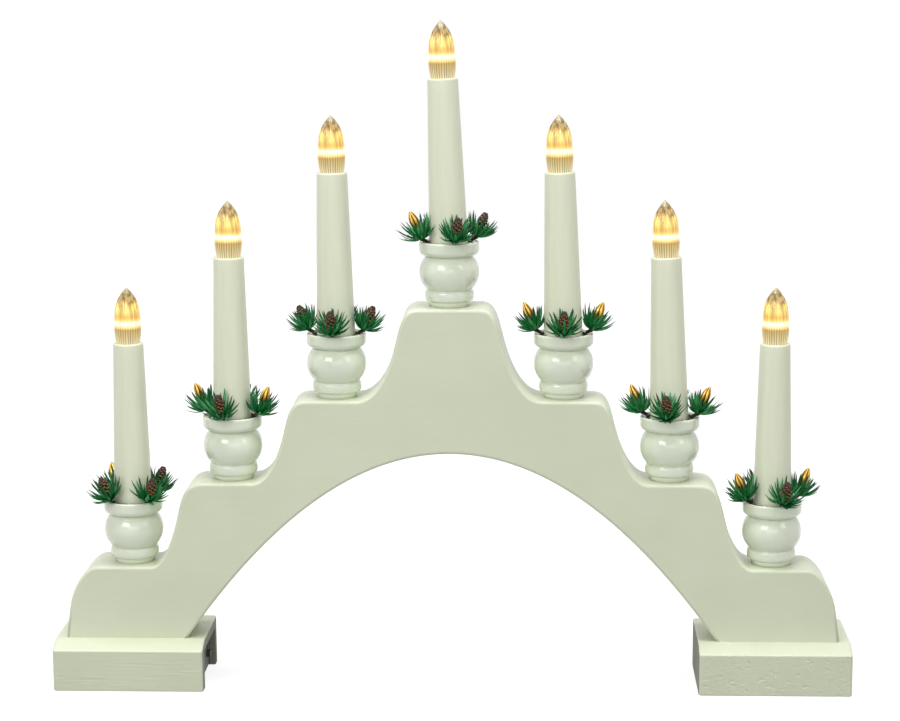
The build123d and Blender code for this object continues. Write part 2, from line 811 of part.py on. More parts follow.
pieces = {
    "arch_board": arch_board(),
    "left_foot": left_foot(),
    "right_foot": right_foot(),
    "groove_strip": groove_strip(),
    "foot_screws": foot_screws(),
    "main_lead": main_lead(),
    "candle_wires": core_wires(),
    "battery_box": battery_box(),
    "battery_cover": battery_cover(),
    "battery_1": battery(-1),
    "battery_2": battery(1),
    "contact_plates": contact_plates(),
    "contact_springs": contact_springs(),
    "box_tape": box_tape(),
    "switch_body": switch_body(),
    "switch_knob": switch_knob(),
    "brown_cones": cones("b", brown_cone_length, brown_cone_radius),
    "gold_cones": cones("g", gold_cone_length, gold_cone_radius),
}
cup_shape = cup()
tube_shape = candle_tube()
flame_shape = flame_lens()
led_shape = led()
ring_shape = pine_ring()
for number, place, ledge in candles():
    on_ledge = Pos(place, 0, ledge)
    seat = on_candle(number, place, ledge)
    candle_top = seat * Pos(0, 0, candle_length)
    ring_turn = Rot(0, 0, ring_turns_degrees[number - 1])
    pieces[f"cup_{number}"] = on_ledge * cup_shape
    pieces[f"candle_tube_{number}"] = seat * tube_shape
    pieces[f"flame_lens_{number}"] = candle_top * flame_shape
    pieces[f"led_{number}"] = candle_top * led_shape
    pieces[f"pine_ring_{number}"] = on_ledge * ring_turn * ring_shape

for name, piece in pieces.items():
    export_step(piece, f"parts/{name}.step")
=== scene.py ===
import random
from math import atan2, cos, exp, pi, radians, sin, sqrt, tan

import bmesh
import bpy
from mathutils import Matrix, Vector


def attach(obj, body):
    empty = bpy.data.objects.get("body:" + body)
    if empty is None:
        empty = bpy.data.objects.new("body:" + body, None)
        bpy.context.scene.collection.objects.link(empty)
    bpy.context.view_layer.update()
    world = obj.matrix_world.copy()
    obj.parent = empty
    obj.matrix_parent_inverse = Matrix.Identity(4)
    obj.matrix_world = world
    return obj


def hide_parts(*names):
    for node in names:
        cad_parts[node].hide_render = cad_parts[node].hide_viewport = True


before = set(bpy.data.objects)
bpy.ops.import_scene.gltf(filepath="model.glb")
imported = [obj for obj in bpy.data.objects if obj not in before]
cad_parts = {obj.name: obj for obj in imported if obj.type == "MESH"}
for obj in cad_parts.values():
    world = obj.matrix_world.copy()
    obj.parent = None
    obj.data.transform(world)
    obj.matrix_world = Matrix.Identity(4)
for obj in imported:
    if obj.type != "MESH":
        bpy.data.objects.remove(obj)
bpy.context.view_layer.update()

MM = 0.001


# Board
# A 30 mm board of jointed pine, sawn to seven ledges above and one arch below, then routed along its
# long edges and sprayed with white lacquer. It stands on its two feet, screwed from below.

foot_height = 25.0
board_half_length = 194.5
board_thickness = 30.0
board_edge_round = 1.5
arch_half_span = 133.0
arch_height = 120.5
ledge_heights = (193.0, 147.15, 105.23, 62.0)
candle_places = (0.0, 56.511, 109.48, 161.0)
ledge_outer_runs = (14.5, 13.5, 12.0, 16.5)
ledge_inner_run = 10.3
flank_place_shares = (0.363, 0.409, 0.497)
flank_rise_share = 0.65
flank_run_share = 0.335
hollow_shares = (0.78, 0.49)
shoulder_shares = (0.85, 0.8)
end_flank_lean = radians(8.0)
end_flank_straight_share = 0.43
end_shoulder_shares = (0.5, 0.55)
cutter_overrun = 1.0


def between(start, end, share):
    """Point at a share of the way from start to end."""
    return tuple(a + (b - a) * share for a, b in zip(start, end))


def bezier(controls, steps):
    """Points along the Bezier curve of any number of control points, both ends included."""
    points = []
    for step in range(steps + 1):
        hull = list(controls)
        while len(hull) > 1:
            hull = [between(a, b, step / steps) for a, b in zip(hull, hull[1:])]
        points.append(hull[0])
    return points


def rounded_corner(start, corner, end, shares, steps=18):
    """Curve that leaves start and reaches end along the two lines that meet at corner."""
    controls = (start, between(start, corner, shares[0]), between(end, corner, shares[1]), end)
    return bezier(controls, steps)


def right_outline():
    """Top edge of the board's right half, from its bottom corner to the middle."""
    rise = ledge_heights[3] - foot_height
    corner = (board_half_length, foot_height)
    head = (board_half_length - rise * tan(end_flank_lean), ledge_heights[3])
    straight_end = between(corner, head, end_flank_straight_share)
    outer_end = (candle_places[3] + ledge_outer_runs[3], ledge_heights[3])
    points = [corner] + rounded_corner(straight_end, head, outer_end, end_shoulder_shares)
    for ledge in (3, 2, 1):
        low, high = ledge_heights[ledge], ledge_heights[ledge - 1]
        inner_end = (candle_places[ledge] - ledge_inner_run, low)
        upper_end = (candle_places[ledge - 1] + ledge_outer_runs[ledge - 1], high)
        room = inner_end[0] - upper_end[0]
        turn_place = upper_end[0] + flank_place_shares[ledge - 1] * room
        turn = (turn_place, low + flank_rise_share * (high - low))
        foot = (turn_place + flank_rise_share * flank_run_share * room, low)
        head = (turn_place - (1 - flank_rise_share) * flank_run_share * room, high)
        points += rounded_corner(inner_end, foot, turn, hollow_shares)
        points += rounded_corner(turn, head, upper_end, shoulder_shares)[1:]
    return points


def board_outline():
    """Closed outline of the board, anticlockwise seen from the front, as places across and up."""
    right = right_outline()
    left = [(-x, z) for x, z in reversed(right)]
    controls = (
        (-arch_half_span, foot_height),
        (0, 2 * arch_height - foot_height),
        (arch_half_span, foot_height),
    )
    return right + left + bezier(controls, steps=120)


def inset(outline, distance, resting_height=None):
    """Outline drawn in by a distance, but for the stretches that lie on resting_height."""
    nearly_straight = 0.02
    sides = []
    for start, end in zip(outline, outline[1:] + outline[:1]):
        run = Vector((end[0] - start[0], end[1] - start[1])).normalized()
        resting = start[1] == resting_height and end[1] == resting_height
        sides.append((Vector((-run.y, run.x)), 0 if resting else distance))
    moved = []
    for index, point in enumerate(outline):
        (first, first_depth), (second, second_depth) = sides[index - 1], sides[index]
        turn = first.x * second.y - first.y * second.x
        if abs(turn) < nearly_straight:
            shift = (first + second) / 2 * second_depth
        else:
            across = (first_depth * second.y - second_depth * first.y) / turn
            upwards = (second_depth * first.x - first_depth * second.x) / turn
            shift = Vector((across, upwards))
        moved.append((point[0] + shift.x, point[1] + shift.y))
    return moved


def skin(bm, rings, closed=True, capped=True):
    """Faces between rings of points, each ring joined to the next, with a flat cap at each end."""
    rows = [[bm.verts.new(Vector(point) * MM) for point in ring] for ring in rings]
    count = len(rows[0])
    for lower, upper in zip(rows, rows[1:]):
        for index in range(count if closed else count - 1):
            after = (index + 1) % count
            face = bm.faces.new((lower[index], lower[after], upper[after], upper[index]))
            face.smooth = True
    if capped:
        bm.faces.new(reversed(rows[0]))
        bm.faces.new(rows[-1])
    return rows


def finished(name, bm):
    """Mesh of what was drawn, with its faces turned outwards."""
    bmesh.ops.recalc_face_normals(bm, faces=bm.faces)
    mesh = bpy.data.meshes.new(name)
    bm.to_mesh(mesh)
    bm.free()
    return mesh


def stand(name, mesh, material=None, place=Matrix.Identity(4)):
    """Object of a finished mesh at a place in millimetres."""
    piece = bpy.data.objects.new(name, mesh)
    bpy.context.scene.collection.objects.link(piece)
    if material and not mesh.materials:
        mesh.materials.append(material)
    at = place.copy()
    at.translation = place.translation * MM
    piece.matrix_world = at
    return piece


def faceted(name, rings):
    """Object with flat faces between rings of points, used as a cutter or a plain band."""
    bm = bmesh.new()
    skin(bm, rings)
    for face in bm.faces:
        face.smooth = False
    return stand(name, finished(name, bm))


def cut(piece, cutters):
    """Takes each cutter out of a piece and deletes it."""
    for cutter in cutters:
        modifier = piece.modifiers.new("cut", "BOOLEAN")
        modifier.object = cutter
        modifier.solver = "EXACT"
    bpy.context.view_layer.update()
    carved = piece.evaluated_get(bpy.context.evaluated_depsgraph_get())
    mesh = bpy.data.meshes.new_from_object(carved)
    piece.modifiers.clear()
    piece.data = mesh
    for cutter in cutters:
        bpy.data.objects.remove(cutter)


def rounded_slab(outline, half_thickness, edge_round, resting_height, steps=6):
    """Slab with its outline across and up, and both long edges rounded."""
    rings = []
    for side in (-1, 1):
        for step in range(steps + 1):
            turn = pi / 2 * (step if side > 0 else steps - step) / steps
            depth = half_thickness - edge_round + edge_round * sin(turn)
            drawn_in = inset(outline, edge_round * (1 - cos(turn)), resting_height)
            rings.append([(x, side * depth, z) for x, z in drawn_in])
    bm = bmesh.new()
    skin(bm, rings)
    return bm


def linear(hex_colour):
    """Linear colour of an sRGB hex value, by that standard's own curve."""
    shares = [int(hex_colour[place:place + 2], 16) / 255 for place in (1, 3, 5)]
    return [c / 12.92 if c <= 0.04045 else ((c + 0.055) / 1.055) ** 2.4 for c in shares] + [1.0]


def fill(node, sockets):
    """Gives a node's sockets their values or links."""
    for name, value in sockets.items():
        if isinstance(value, bpy.types.NodeSocket):
            node.id_data.links.new(value, node.inputs[name])
        else:
            node.inputs[name].default_value = value


def add(material, kind, sockets=None, stops=(), **settings):
    """Node of a material with its settings, its sockets and, for a ramp, its colours at their places."""
    made = material.node_tree.nodes.new(kind)
    for name, value in settings.items():
        setattr(made, name, value)
    fill(made, sockets or {})
    for index, (place, hex_colour) in enumerate(stops[:1] + stops[-1:]):
        made.color_ramp.elements[index].position = place
        made.color_ramp.elements[index].color = linear(hex_colour)
    for place, hex_colour in stops[1:-1]:
        made.color_ramp.elements.new(place).color = linear(hex_colour)
    return made


def new_material(name, **sockets):
    """Material with a principled surface whose sockets are named with underscores for spaces."""
    material = bpy.data.materials.new(name)
    material.use_nodes = True
    surface = material.node_tree.nodes["Principled BSDF"]
    fill(surface, {socket.replace("_", " "): value for socket, value in sockets.items()})
    return material, surface


# The mix node's sockets for colours go by number.
colour_a = 6
colour_b = 7
mixed_colour = 2


def white_lacquer(
    name, grain_depth, roughness, darker, lighter, grain_turn=(0, 0, 0), peel_depth=0.012, coat=0.0
):
    """Sprayed white lacquer over wood, its grain along X before grain_turn, clouded in two tints."""
    # Sprayed nitrocellulose lacquer, IOR 1.5: an ivory white with a soft gloss, a faint orange peel
    # about 1.2 mm across, and the long grain of the pine telegraphing through in lines 0.7 mm apart.
    peel_size = 1.2 * MM
    grain_size = 0.7 * MM
    cloud_size = 35 * MM
    grain_stretch = 0.03
    material, surface = new_material(name, Roughness=roughness, IOR=1.5, Coat_Weight=coat)
    place = add(material, "ShaderNodeTexCoord").outputs["Object"]
    along = add(
        material,
        "ShaderNodeMapping",
        {"Vector": place, "Rotation": grain_turn, "Scale": (grain_stretch, 1, 1)},
    )
    peel = add(material, "ShaderNodeTexNoise", {"Vector": place, "Scale": 1 / peel_size, "Detail": 2.0})
    grain = add(
        material,
        "ShaderNodeTexNoise",
        {"Vector": along.outputs[0], "Scale": 1 / grain_size, "Detail": 4.0, "Roughness": 0.6},
    )
    cloud = add(material, "ShaderNodeTexNoise", {"Vector": place, "Scale": 1 / cloud_size, "Detail": 3.0})
    tint = add(
        material,
        "ShaderNodeValToRGB",
        {"Fac": cloud.outputs["Fac"]},
        stops=((0.3, darker), (0.7, lighter)),
    )
    shade = add(
        material,
        "ShaderNodeMix",
        {"Factor": grain.outputs["Fac"], colour_a: tint.outputs["Color"], colour_b: linear(darker)},
        data_type="RGBA",
        blend_type="MIX",
    )
    grain_bump = add(
        material,
        "ShaderNodeBump",
        {"Height": grain.outputs["Fac"], "Strength": 1.0, "Distance": grain_depth * MM},
    )
    peel_bump = add(
        material,
        "ShaderNodeBump",
        {
            "Height": peel.outputs["Fac"],
            "Strength": 1.0,
            "Distance": peel_depth * MM,
            "Normal": grain_bump.outputs["Normal"],
        },
    )
    fill(surface, {"Base Color": shade.outputs[mixed_colour], "Normal": peel_bump.outputs["Normal"]})
    return material


board_lacquer = white_lacquer(
    "white_lacquer_on_board", grain_depth=0.02, roughness=0.36, darker="#D2D8C0", lighter="#DCE2CC"
)

groove_top_height = 129.0
groove_end_height = 36.0
groove_end_run = 4.0
groove_width = 8.0
groove_depth = 17.0
strip_width = 12.0
strip_thickness = 1.2
strip_side_gap = 0.1


def groove_band(name, width, depth, proud):
    """Band along the wiring groove's course in the board's back, from proud of it to a depth."""
    drop = (groove_top_height - groove_end_height) / candle_places[3] ** 2
    end = candle_places[3] + groove_end_run
    steps = 80
    upper, lower = [], []
    for step in range(steps + 1):
        x = end * (2 * step / steps - 1)
        normal = Vector((2 * drop * x, 1)).normalized() * width / 2
        middle = Vector((x, groove_top_height - drop * x**2))
        upper.append(middle + normal)
        lower.append(middle - normal)
    outline = lower + upper[::-1]
    back = board_thickness / 2
    return faceted(name, [[(x, y, z) for x, z in outline] for y in (back - depth, back + proud)])


slab = rounded_slab(board_outline(), board_thickness / 2, board_edge_round, foot_height)
board = stand("stepped_board", finished("stepped_board", slab), board_lacquer)
cut(
    board,
    [
        groove_band("groove_cutter", groove_width, groove_depth, cutter_overrun),
        groove_band("strip_cutter", strip_width, strip_thickness, cutter_overrun),
    ],
)
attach(board, "arch")
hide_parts("arch_board")


# Strip over the groove
# A thin strip of the same pine, bent into the routed rebate in the board's back, glued flush and
# lacquered with it, so that only its outline shows.

strip = groove_band("back_strip", strip_width - 2 * strip_side_gap, strip_thickness, 0)
strip.data.materials.append(board_lacquer)
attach(strip, "arch")
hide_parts("groove_strip")


# Feet
# Two planed pine blocks with a wide bevel along the front, lacquered less carefully than the board:
# the right one keeps the tears and dents of its planing. The left one is hollow for the battery box.

foot_length = 76.0
foot_depth = 50.0
foot_bevel_drop = 4.0
foot_bevel_run = 9.5
foot_end_round = 1.5
foot_edge_round = 0.5
foot_middle = 162.0
pocket_wall = 6.0
pocket_top_wall = 5.0
pocket_end_wall = 4.0
screw_pitch = 44.0
screw_head_radius = 3.4
screw_head_height = 2.0
screw_shank_radius = 1.75
screw_head_recess = 0.4
screw_hole_cover = 2.0


def soften(bm, sharpest=radians(32)):
    """Keeps the edges that turn more than sharpest crisp in a smooth mesh."""
    for edge in bm.edges:
        if len(edge.link_faces) == 2:
            edge.smooth = edge.calc_face_angle(0) < sharpest


def foot_section():
    """Section of a foot from back to front and up, with softened edges and close points in front."""
    front, back = -foot_depth / 2, foot_depth / 2
    corners = [
        (front, 0),
        (back, 0),
        (back, foot_height),
        (front + foot_bevel_run, foot_height),
        (front, foot_height - foot_bevel_drop),
    ]
    points = []
    for index, corner in enumerate(corners):
        edges = []
        for other in (corners[index - 1], corners[(index + 1) % len(corners)]):
            run = (Vector(other) - Vector(corner)).normalized() * foot_edge_round
            edges.append((corner[0] + run.x, corner[1] + run.y))
        points += bezier((edges[0], corner, edges[1]), steps=4)
    rows = 72
    return points + [between(points[-1], points[0], row / rows) for row in range(1, rows)]


def tear(x, z, middle, up, half_length, half_width, depth, lean):
    """Depth of one tear at a point of a foot's front: a smooth hollow along a leaning line."""
    across, height = x - middle, z - up
    faded_away = 3 * half_length
    if max(abs(across), abs(height)) > faded_away:
        return 0
    along = across * cos(lean) + height * sin(lean)
    aside = height * cos(lean) - across * sin(lean)
    return depth * exp(-((along / half_length) ** 2) - (aside / half_width) ** 2)


def torn_grain(seed, count, half_lengths, greatest_depth, greatest_lean):
    """Places, half sizes, depths and leans of the tears that planing left in a foot's front."""
    proudest_share = -0.6
    outermost_share = 0.48
    highest_share = 0.84
    half_widths = (0.3, 0.6)
    dice = random.Random(seed)
    tears = []
    for _ in range(count):
        depth = greatest_depth * dice.uniform(proudest_share, 1.0)
        place = dice.uniform(-outermost_share, outermost_share) * foot_length
        height = dice.uniform(0.0, highest_share) * foot_height
        lean = dice.uniform(-greatest_lean, greatest_lean)
        tears.append((place, height, dice.uniform(*half_lengths), dice.uniform(*half_widths), depth, lean))
    return tears


def planed_foot(name, side, tears, material):
    """Foot on one side of the arch, rounded at its ends and dented on its front."""
    section = foot_section()
    columns = 250
    end_steps = 6
    front_margin = 0.1
    front = front_margin - foot_depth / 2
    middle = foot_height / 2
    inner = foot_length / 2 - foot_end_round
    turns = [pi / 2 * step / end_steps for step in range(end_steps + 1)]
    corner = [(inner + foot_end_round * sin(turn), 1 - cos(turn)) for turn in turns]
    stations = [(-x, share) for x, share in reversed(corner)]
    stations += [(inner * (2 * column / columns - 1), 0) for column in range(1, columns)]
    stations += corner
    rings = []
    for x, share in stations:
        narrowing = 1 - share * foot_end_round / (foot_depth / 2)
        lowering = 1 - share * foot_edge_round / (foot_height / 2)
        ring = []
        for y, z in section:
            pressed = sum(tear(x, z, *marks) for marks in tears) if y < front else 0
            height = middle + (z - middle) * lowering
            ring.append((x + side * foot_middle, y * narrowing + pressed, height))
        rings.append(ring)
    bm = bmesh.new()
    skin(bm, rings)
    soften(bm)
    return stand(name, finished(name, bm), material)


def turned(name, profile, sides):
    """Mesh turned round its own upright axis from places out and up, closed on itself or on the axis."""
    bm = bmesh.new()
    closed = profile[0] == profile[-1]
    turns = [2 * pi * index / sides for index in range(sides)]
    rows = []
    for radius, height in profile[:-1] if closed else profile:
        spots = turns if radius else turns[:1]
        rows.append(
            [bm.verts.new(Vector((radius * cos(a), radius * sin(a), height)) * MM) for a in spots]
        )
    if closed:
        rows.append(rows[0])
    for lower, upper in zip(rows, rows[1:]):
        for index in range(sides):
            after = (index + 1) % sides
            corners = [lower[index % len(lower)], lower[after % len(lower)]]
            corners += [upper[after % len(upper)], upper[index % len(upper)]]
            distinct = list(dict.fromkeys(corners))
            if len(distinct) > 2:
                bm.faces.new(distinct).smooth = True
    soften(bm)
    return finished(name, bm)


def block(name, corner, opposite):
    """Plain block between two corners, used as a cutter."""
    (x0, y0, z0), (x1, y1, z1) = corner, opposite
    return faceted(name, [[(x0, y0, z), (x1, y0, z), (x1, y1, z), (x0, y1, z)] for z in (z0, z1)])


foot_lacquer = white_lacquer(
    "white_lacquer_on_foot", grain_depth=0.12, roughness=0.34, darker="#CCD2BA", lighter="#D8DEC7"
)

# The right foot took a dry, dusty coat that dried in pimples.
pimpled_lacquer = white_lacquer(
    "pimpled_lacquer_on_foot",
    grain_depth=0.05,
    roughness=0.34,
    darker="#CCD2BA",
    lighter="#D8DEC7",
    peel_depth=0.1,
)

# The spray hardly reached the feet's inner ends and the hollow, which stay rough and matt; their grey is
# painted shade, for the little light that reaches them.
thin_lacquer_and_painted_shade = white_lacquer(
    "thin_lacquer_with_painted_shade", grain_depth=0.2, roughness=0.75, darker="#828476", lighter="#9A9C90"
)
pocket_half_width = foot_depth / 2 - pocket_wall


def give_thin_coat_and_painted_shade(foot):
    """Gives the thin coat and its painted shade to a foot's inner end and to the walls of its hollow."""
    tolerance = 0.1
    squarely_endwise = 0.8
    ceiling = foot_height - pocket_top_wall
    foot.data.materials.append(thin_lacquer_and_painted_shade)
    for face in foot.data.polygons:
        x, y, z = face.center / MM
        # Painted shade goes on the hollow's walls and on the inner ends.
        inside = abs(y) < pocket_half_width + tolerance and tolerance < z < ceiling + tolerance
        inner_end = abs(face.normal.x) > squarely_endwise and abs(x) < foot_middle
        if inside or inner_end:
            face.material_index = 1


right_tears = torn_grain(
    seed=7, count=150, half_lengths=(0.4, 1.4), greatest_depth=0.28, greatest_lean=0.7
)
right_foot = planed_foot("planed_foot_right", 1, right_tears, pimpled_lacquer)
screw_hole = [
    (0, -cutter_overrun),
    (screw_head_radius, -cutter_overrun),
    (screw_head_radius, screw_head_recess),
    (screw_shank_radius, screw_head_recess + screw_head_height),
    (screw_shank_radius, foot_height - screw_hole_cover),
    (0, foot_height - screw_hole_cover),
]
screw_cutter = turned("screw_cutter", screw_hole, sides=32)
cut(
    right_foot,
    [
        stand("screw_cutter", screw_cutter, place=Matrix.Translation((x, 0, 0)))
        for x in (foot_middle - screw_pitch / 2, foot_middle + screw_pitch / 2)
    ],
)
left_tears = torn_grain(
    seed=12, count=36, half_lengths=(3.0, 7.0), greatest_depth=0.1, greatest_lean=0.06
)
left_foot = planed_foot("planed_foot_left", -1, left_tears, foot_lacquer)
pocket_start = (-foot_middle - foot_length / 2 + pocket_end_wall, -pocket_half_width, -cutter_overrun)
pocket_end = (
    -foot_middle + foot_length / 2 + cutter_overrun,
    pocket_half_width,
    foot_height - pocket_top_wall,
)
cut(left_foot, [block("pocket_cutter", pocket_start, pocket_end)])
for foot, node in ((right_foot, "right_foot"), (left_foot, "left_foot")):
    give_thin_coat_and_painted_shade(foot)
    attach(foot, "arch")
    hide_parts(node)


# Screws
# Countersunk steel wood screws, bright zinc, driven up through each foot into the board. Those in
# the left foot sit above the battery box.

screw_tip_height = 45.0
thread_pitch = 1.2
thread_depth = 0.45
thread_end_gap = 3.0
slot_half_length = 2.6
slot_half_width = 0.45
slot_depth = 1.1

# Electroplated zinc on steel: a cool bright grey metal. The plating's fine satin is drawn at 0.4 mm,
# coarser than it is, so that it shows.
zinc, zinc_surface = new_material(
    "zinc_plated_steel", Metallic=1.0, Roughness=0.32, Base_Color=linear("#B9BCBE")
)
zinc_place = add(zinc, "ShaderNodeTexCoord").outputs["Object"]
zinc_grain = add(zinc, "ShaderNodeTexNoise", {"Vector": zinc_place, "Scale": 1 / (0.4 * MM)})
zinc_bump = add(
    zinc, "ShaderNodeBump", {"Height": zinc_grain.outputs["Fac"], "Distance": 0.01 * MM, "Strength": 0.6}
)
fill(zinc_surface, {"Normal": zinc_bump.outputs["Normal"]})


def cross_slot(x, seat):
    """Cross-shaped cutter for one screw's head."""
    long_way = ((slot_half_length, slot_half_width), (slot_half_width, slot_half_length))
    lower, upper = seat - cutter_overrun, seat + slot_depth
    return [
        block("slot_cutter", (x - across, -deep, lower), (x + across, deep, upper))
        for across, deep in long_way
    ]


def screw_outline(seat):
    """Outside of a screw from its head at a height to its tip, threaded on the way."""
    shank_foot = seat + screw_head_height
    outline = [(0, seat), (screw_head_radius, seat), (screw_shank_radius, shank_foot)]
    height = shank_foot + thread_end_gap
    while height < screw_tip_height - thread_end_gap:
        outline += [
            (screw_shank_radius, height),
            (screw_shank_radius - thread_depth, height + thread_pitch / 2),
        ]
        height += thread_pitch
    return outline + [(0, screw_tip_height)]


screw_seats = [(-foot_middle, foot_height - pocket_top_wall), (foot_middle, screw_head_recess)]
screw_places = [
    (middle + end * screw_pitch / 2, seat) for middle, seat in screw_seats for end in (-1, 1)
]
for number, (x, seat) in enumerate(screw_places, start=1):
    name = f"foot_screw_{number}"
    screw = stand(name, turned(name, screw_outline(seat), sides=24), zinc, Matrix.Translation((x, 0, 0)))
    cut(screw, cross_slot(x, seat))
    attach(screw, "arch")
    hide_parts("foot_screws")


# Cups
# Beech cups turned on a lathe, dipped in the same white lacquer and left glossy, with a neck, a ring,
# a ball and a flared rim. Each is glued by its tenon into a ledge of the board.

cup_neck_radius = 9.9
cup_neck_height = 3.0
cup_chamfer_run = 0.3
cup_chamfer_drop = 0.4
cup_ring_radius = 12.2
cup_ring_height = 5.0
cup_ring_edge = 0.5
cup_ring_lift = 0.1
cup_waist_radius = 11.3
cup_waist_nick = 0.35
cup_ball_radius = 14.85
cup_ball_height = 17.0
cup_ball_lift = 0.3
cup_throat_radius = 11.7
cup_throat_nick = 0.4
cup_flare_start = (0.1, 0.25)
cup_flare_turn = (2.25, 0.9)
cup_rim_radius = 14.8
cup_rim_height = 7.2
cup_rim_curve_height = 3.2
cup_rim_side_height = 1.5
cup_lip_width = 1.5
cup_lip_outer_drop = 0.9
cup_lip_inner_run = 0.35
cup_lip_inner_drop = 0.45
cup_dish_depth = 3.4
cup_mouth_run = 0.3
cup_mouth_rise = 0.15
cup_mouth_drop = 0.2
cup_socket_depth = 7.0
cup_socket_radius = 10.2
candle_seat_gap = 0.35
cup_height = cup_neck_height + cup_ring_height + cup_ball_height + cup_rim_height
candle_seat_height = cup_height - cup_dish_depth - cup_socket_depth + candle_seat_gap
candle_leans = [radians(turn) for turn in (0.0, 0.0, -0.6, -1.7, -1.3, -1.7, 0.0)]


def candle_ledges():
    """Number, place across and ledge height of each candle, from the viewer's left."""
    for number, step in enumerate((-3, -2, -1, 0, 1, 2, 3), start=1):
        side = (step > 0) - (step < 0)
        yield number, side * candle_places[abs(step)], ledge_heights[abs(step)]


def on_ledge(_number, place, ledge):
    """Upright frame on a candle's ledge."""
    return Matrix.Translation((place, 0, ledge))


def on_seat(number, place, ledge):
    """Frame of a candle on its seat in the cup, leaning as it was glued."""
    seat = Matrix.Translation((place, 0, ledge + candle_seat_height))
    return seat @ Matrix.Rotation(candle_leans[number - 1], 4, "Y")


def seven_alike(name, mesh, material, frame_of):
    """Number and piece for each candle, all of one mesh that stands in that candle's frame."""
    for number, place, ledge in candle_ledges():
        yield number, stand(f"{name}_{number}", mesh, material, frame_of(number, place, ledge))


def bulge(start, middle, end, steps):
    """Points of the circle's arc from start through middle to end, both ends included."""
    (ax, ay), (bx, by), (cx, cy) = start, middle, end
    spread = 2 * (ax * (by - cy) + bx * (cy - ay) + cx * (ay - by))
    squares = [x * x + y * y for x, y in (start, middle, end)]
    hub_x = (squares[0] * (by - cy) + squares[1] * (cy - ay) + squares[2] * (ay - by)) / spread
    hub_y = (squares[0] * (cx - bx) + squares[1] * (ax - cx) + squares[2] * (bx - ax)) / spread
    radius = sqrt((ax - hub_x) ** 2 + (ay - hub_y) ** 2)
    first = atan2(ay - hub_y, ax - hub_x)
    last = atan2(cy - hub_y, cx - hub_x)
    through = atan2(by - hub_y, bx - hub_x)
    while through < first:
        through += 2 * pi
    while last < first:
        last += 2 * pi
    if through > last:
        last -= 2 * pi
    turns = [first + (last - first) * step / steps for step in range(steps + 1)]
    return [(hub_x + radius * cos(turn), hub_y + radius * sin(turn)) for turn in turns]


def cup_profile():
    """Outside of the cup from its neck up, over the lip and down into the dish and the socket."""
    ball_foot = cup_neck_height + cup_ring_height
    throat = ball_foot + cup_ball_height
    rim_foot = throat + cup_rim_curve_height
    lip_inner = cup_rim_radius - cup_lip_width
    ring_side = cup_ring_radius - cup_ring_edge
    mouth = cup_height - cup_dish_depth
    profile = [(0, 0), (cup_neck_radius, 0)]
    profile += [(cup_neck_radius, cup_neck_height - cup_chamfer_drop)]
    profile += [(cup_neck_radius - cup_chamfer_run, cup_neck_height)]
    profile += bulge(
        (ring_side, cup_neck_height + cup_ring_lift),
        (cup_ring_radius, cup_neck_height + cup_ring_height / 2),
        (ring_side - cup_ring_lift, ball_foot - 2 * cup_ring_lift),
        steps=10,
    )
    profile += [(cup_waist_radius - cup_waist_nick, ball_foot)]
    profile += bulge(
        (cup_waist_radius, ball_foot + cup_ball_lift),
        (cup_ball_radius, ball_foot + cup_ball_height / 2),
        (cup_throat_radius, throat - cup_ball_lift),
        steps=36,
    )
    profile += [(cup_throat_radius - cup_throat_nick, throat)]
    profile += bulge(
        (cup_throat_radius + cup_flare_start[0], throat + cup_flare_start[1]),
        (cup_throat_radius + cup_flare_turn[0], throat + cup_flare_turn[1]),
        (cup_rim_radius, rim_foot),
        steps=12,
    )
    profile += [(cup_rim_radius, rim_foot + cup_rim_side_height)]
    profile += bezier(
        (
            (cup_rim_radius, cup_height - cup_lip_outer_drop),
            (cup_rim_radius, cup_height),
            (cup_rim_radius - cup_lip_width / 2, cup_height),
            (lip_inner, cup_height),
            (lip_inner - cup_lip_inner_run, cup_height - cup_lip_inner_drop),
        ),
        steps=10,
    )
    profile += [
        (cup_socket_radius + cup_mouth_run, mouth + cup_mouth_rise),
        (cup_socket_radius, mouth - cup_mouth_drop),
        (cup_socket_radius, candle_seat_height - candle_seat_gap),
        (0, candle_seat_height - candle_seat_gap),
    ]
    return profile


cup_lacquer = white_lacquer(
    "white_lacquer_on_cups",
    grain_depth=0.004,
    roughness=0.16,
    darker="#E0E7D4",
    lighter="#E8EFDE",
    grain_turn=(0, pi / 2, 0),
    coat=0.6,
)
cup_mesh = turned("turned_cup", cup_profile(), sides=96)
for number, cup in seven_alike("turned_cup", cup_mesh, cup_lacquer, on_ledge):
    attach(cup, "arch")
    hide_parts(f"cup_{number}")


# Candle tubes
# Injection-moulded tapered tubes in ivory plastic, satin, with a softly rounded shoulder round the
# flame. They are glued into the cups a little askew.

candle_top_height = 112.0
candle_bottom_radius = 9.85
candle_top_radius = 7.5
candle_wall = 1.2
candle_top_round = 1.0
candle_foot_chamfer = 0.2
candle_length = candle_top_height - candle_seat_height
flame_base_radius = 5.9
flame_hole_gap = 0.1

# Moulded ABS in ivory, IOR 1.53: satin, very slightly see-through, with faint flow lines down the
# draw of the mould, about 4 mm apart.
ivory, ivory_surface = new_material(
    "ivory_abs",
    Roughness=0.36,
    IOR=1.53,
    Subsurface_Weight=0.12,
    Subsurface_Radius=(2.5 * MM, 2.2 * MM, 1.5 * MM),
    Subsurface_Scale=1.0,
)
ivory_place = add(ivory, "ShaderNodeTexCoord").outputs["Object"]
ivory_draw = add(ivory, "ShaderNodeMapping", {"Vector": ivory_place, "Scale": (1, 1, 0.06)})
ivory_flow = add(
    ivory,
    "ShaderNodeTexNoise",
    {"Vector": ivory_draw.outputs[0], "Scale": 1 / (4 * MM), "Detail": 3.0},
)
ivory_tint = add(
    ivory,
    "ShaderNodeValToRGB",
    {"Fac": ivory_flow.outputs["Fac"]},
    stops=((0.25, "#DCE0C9"), (0.75, "#E4E8D2")),
)
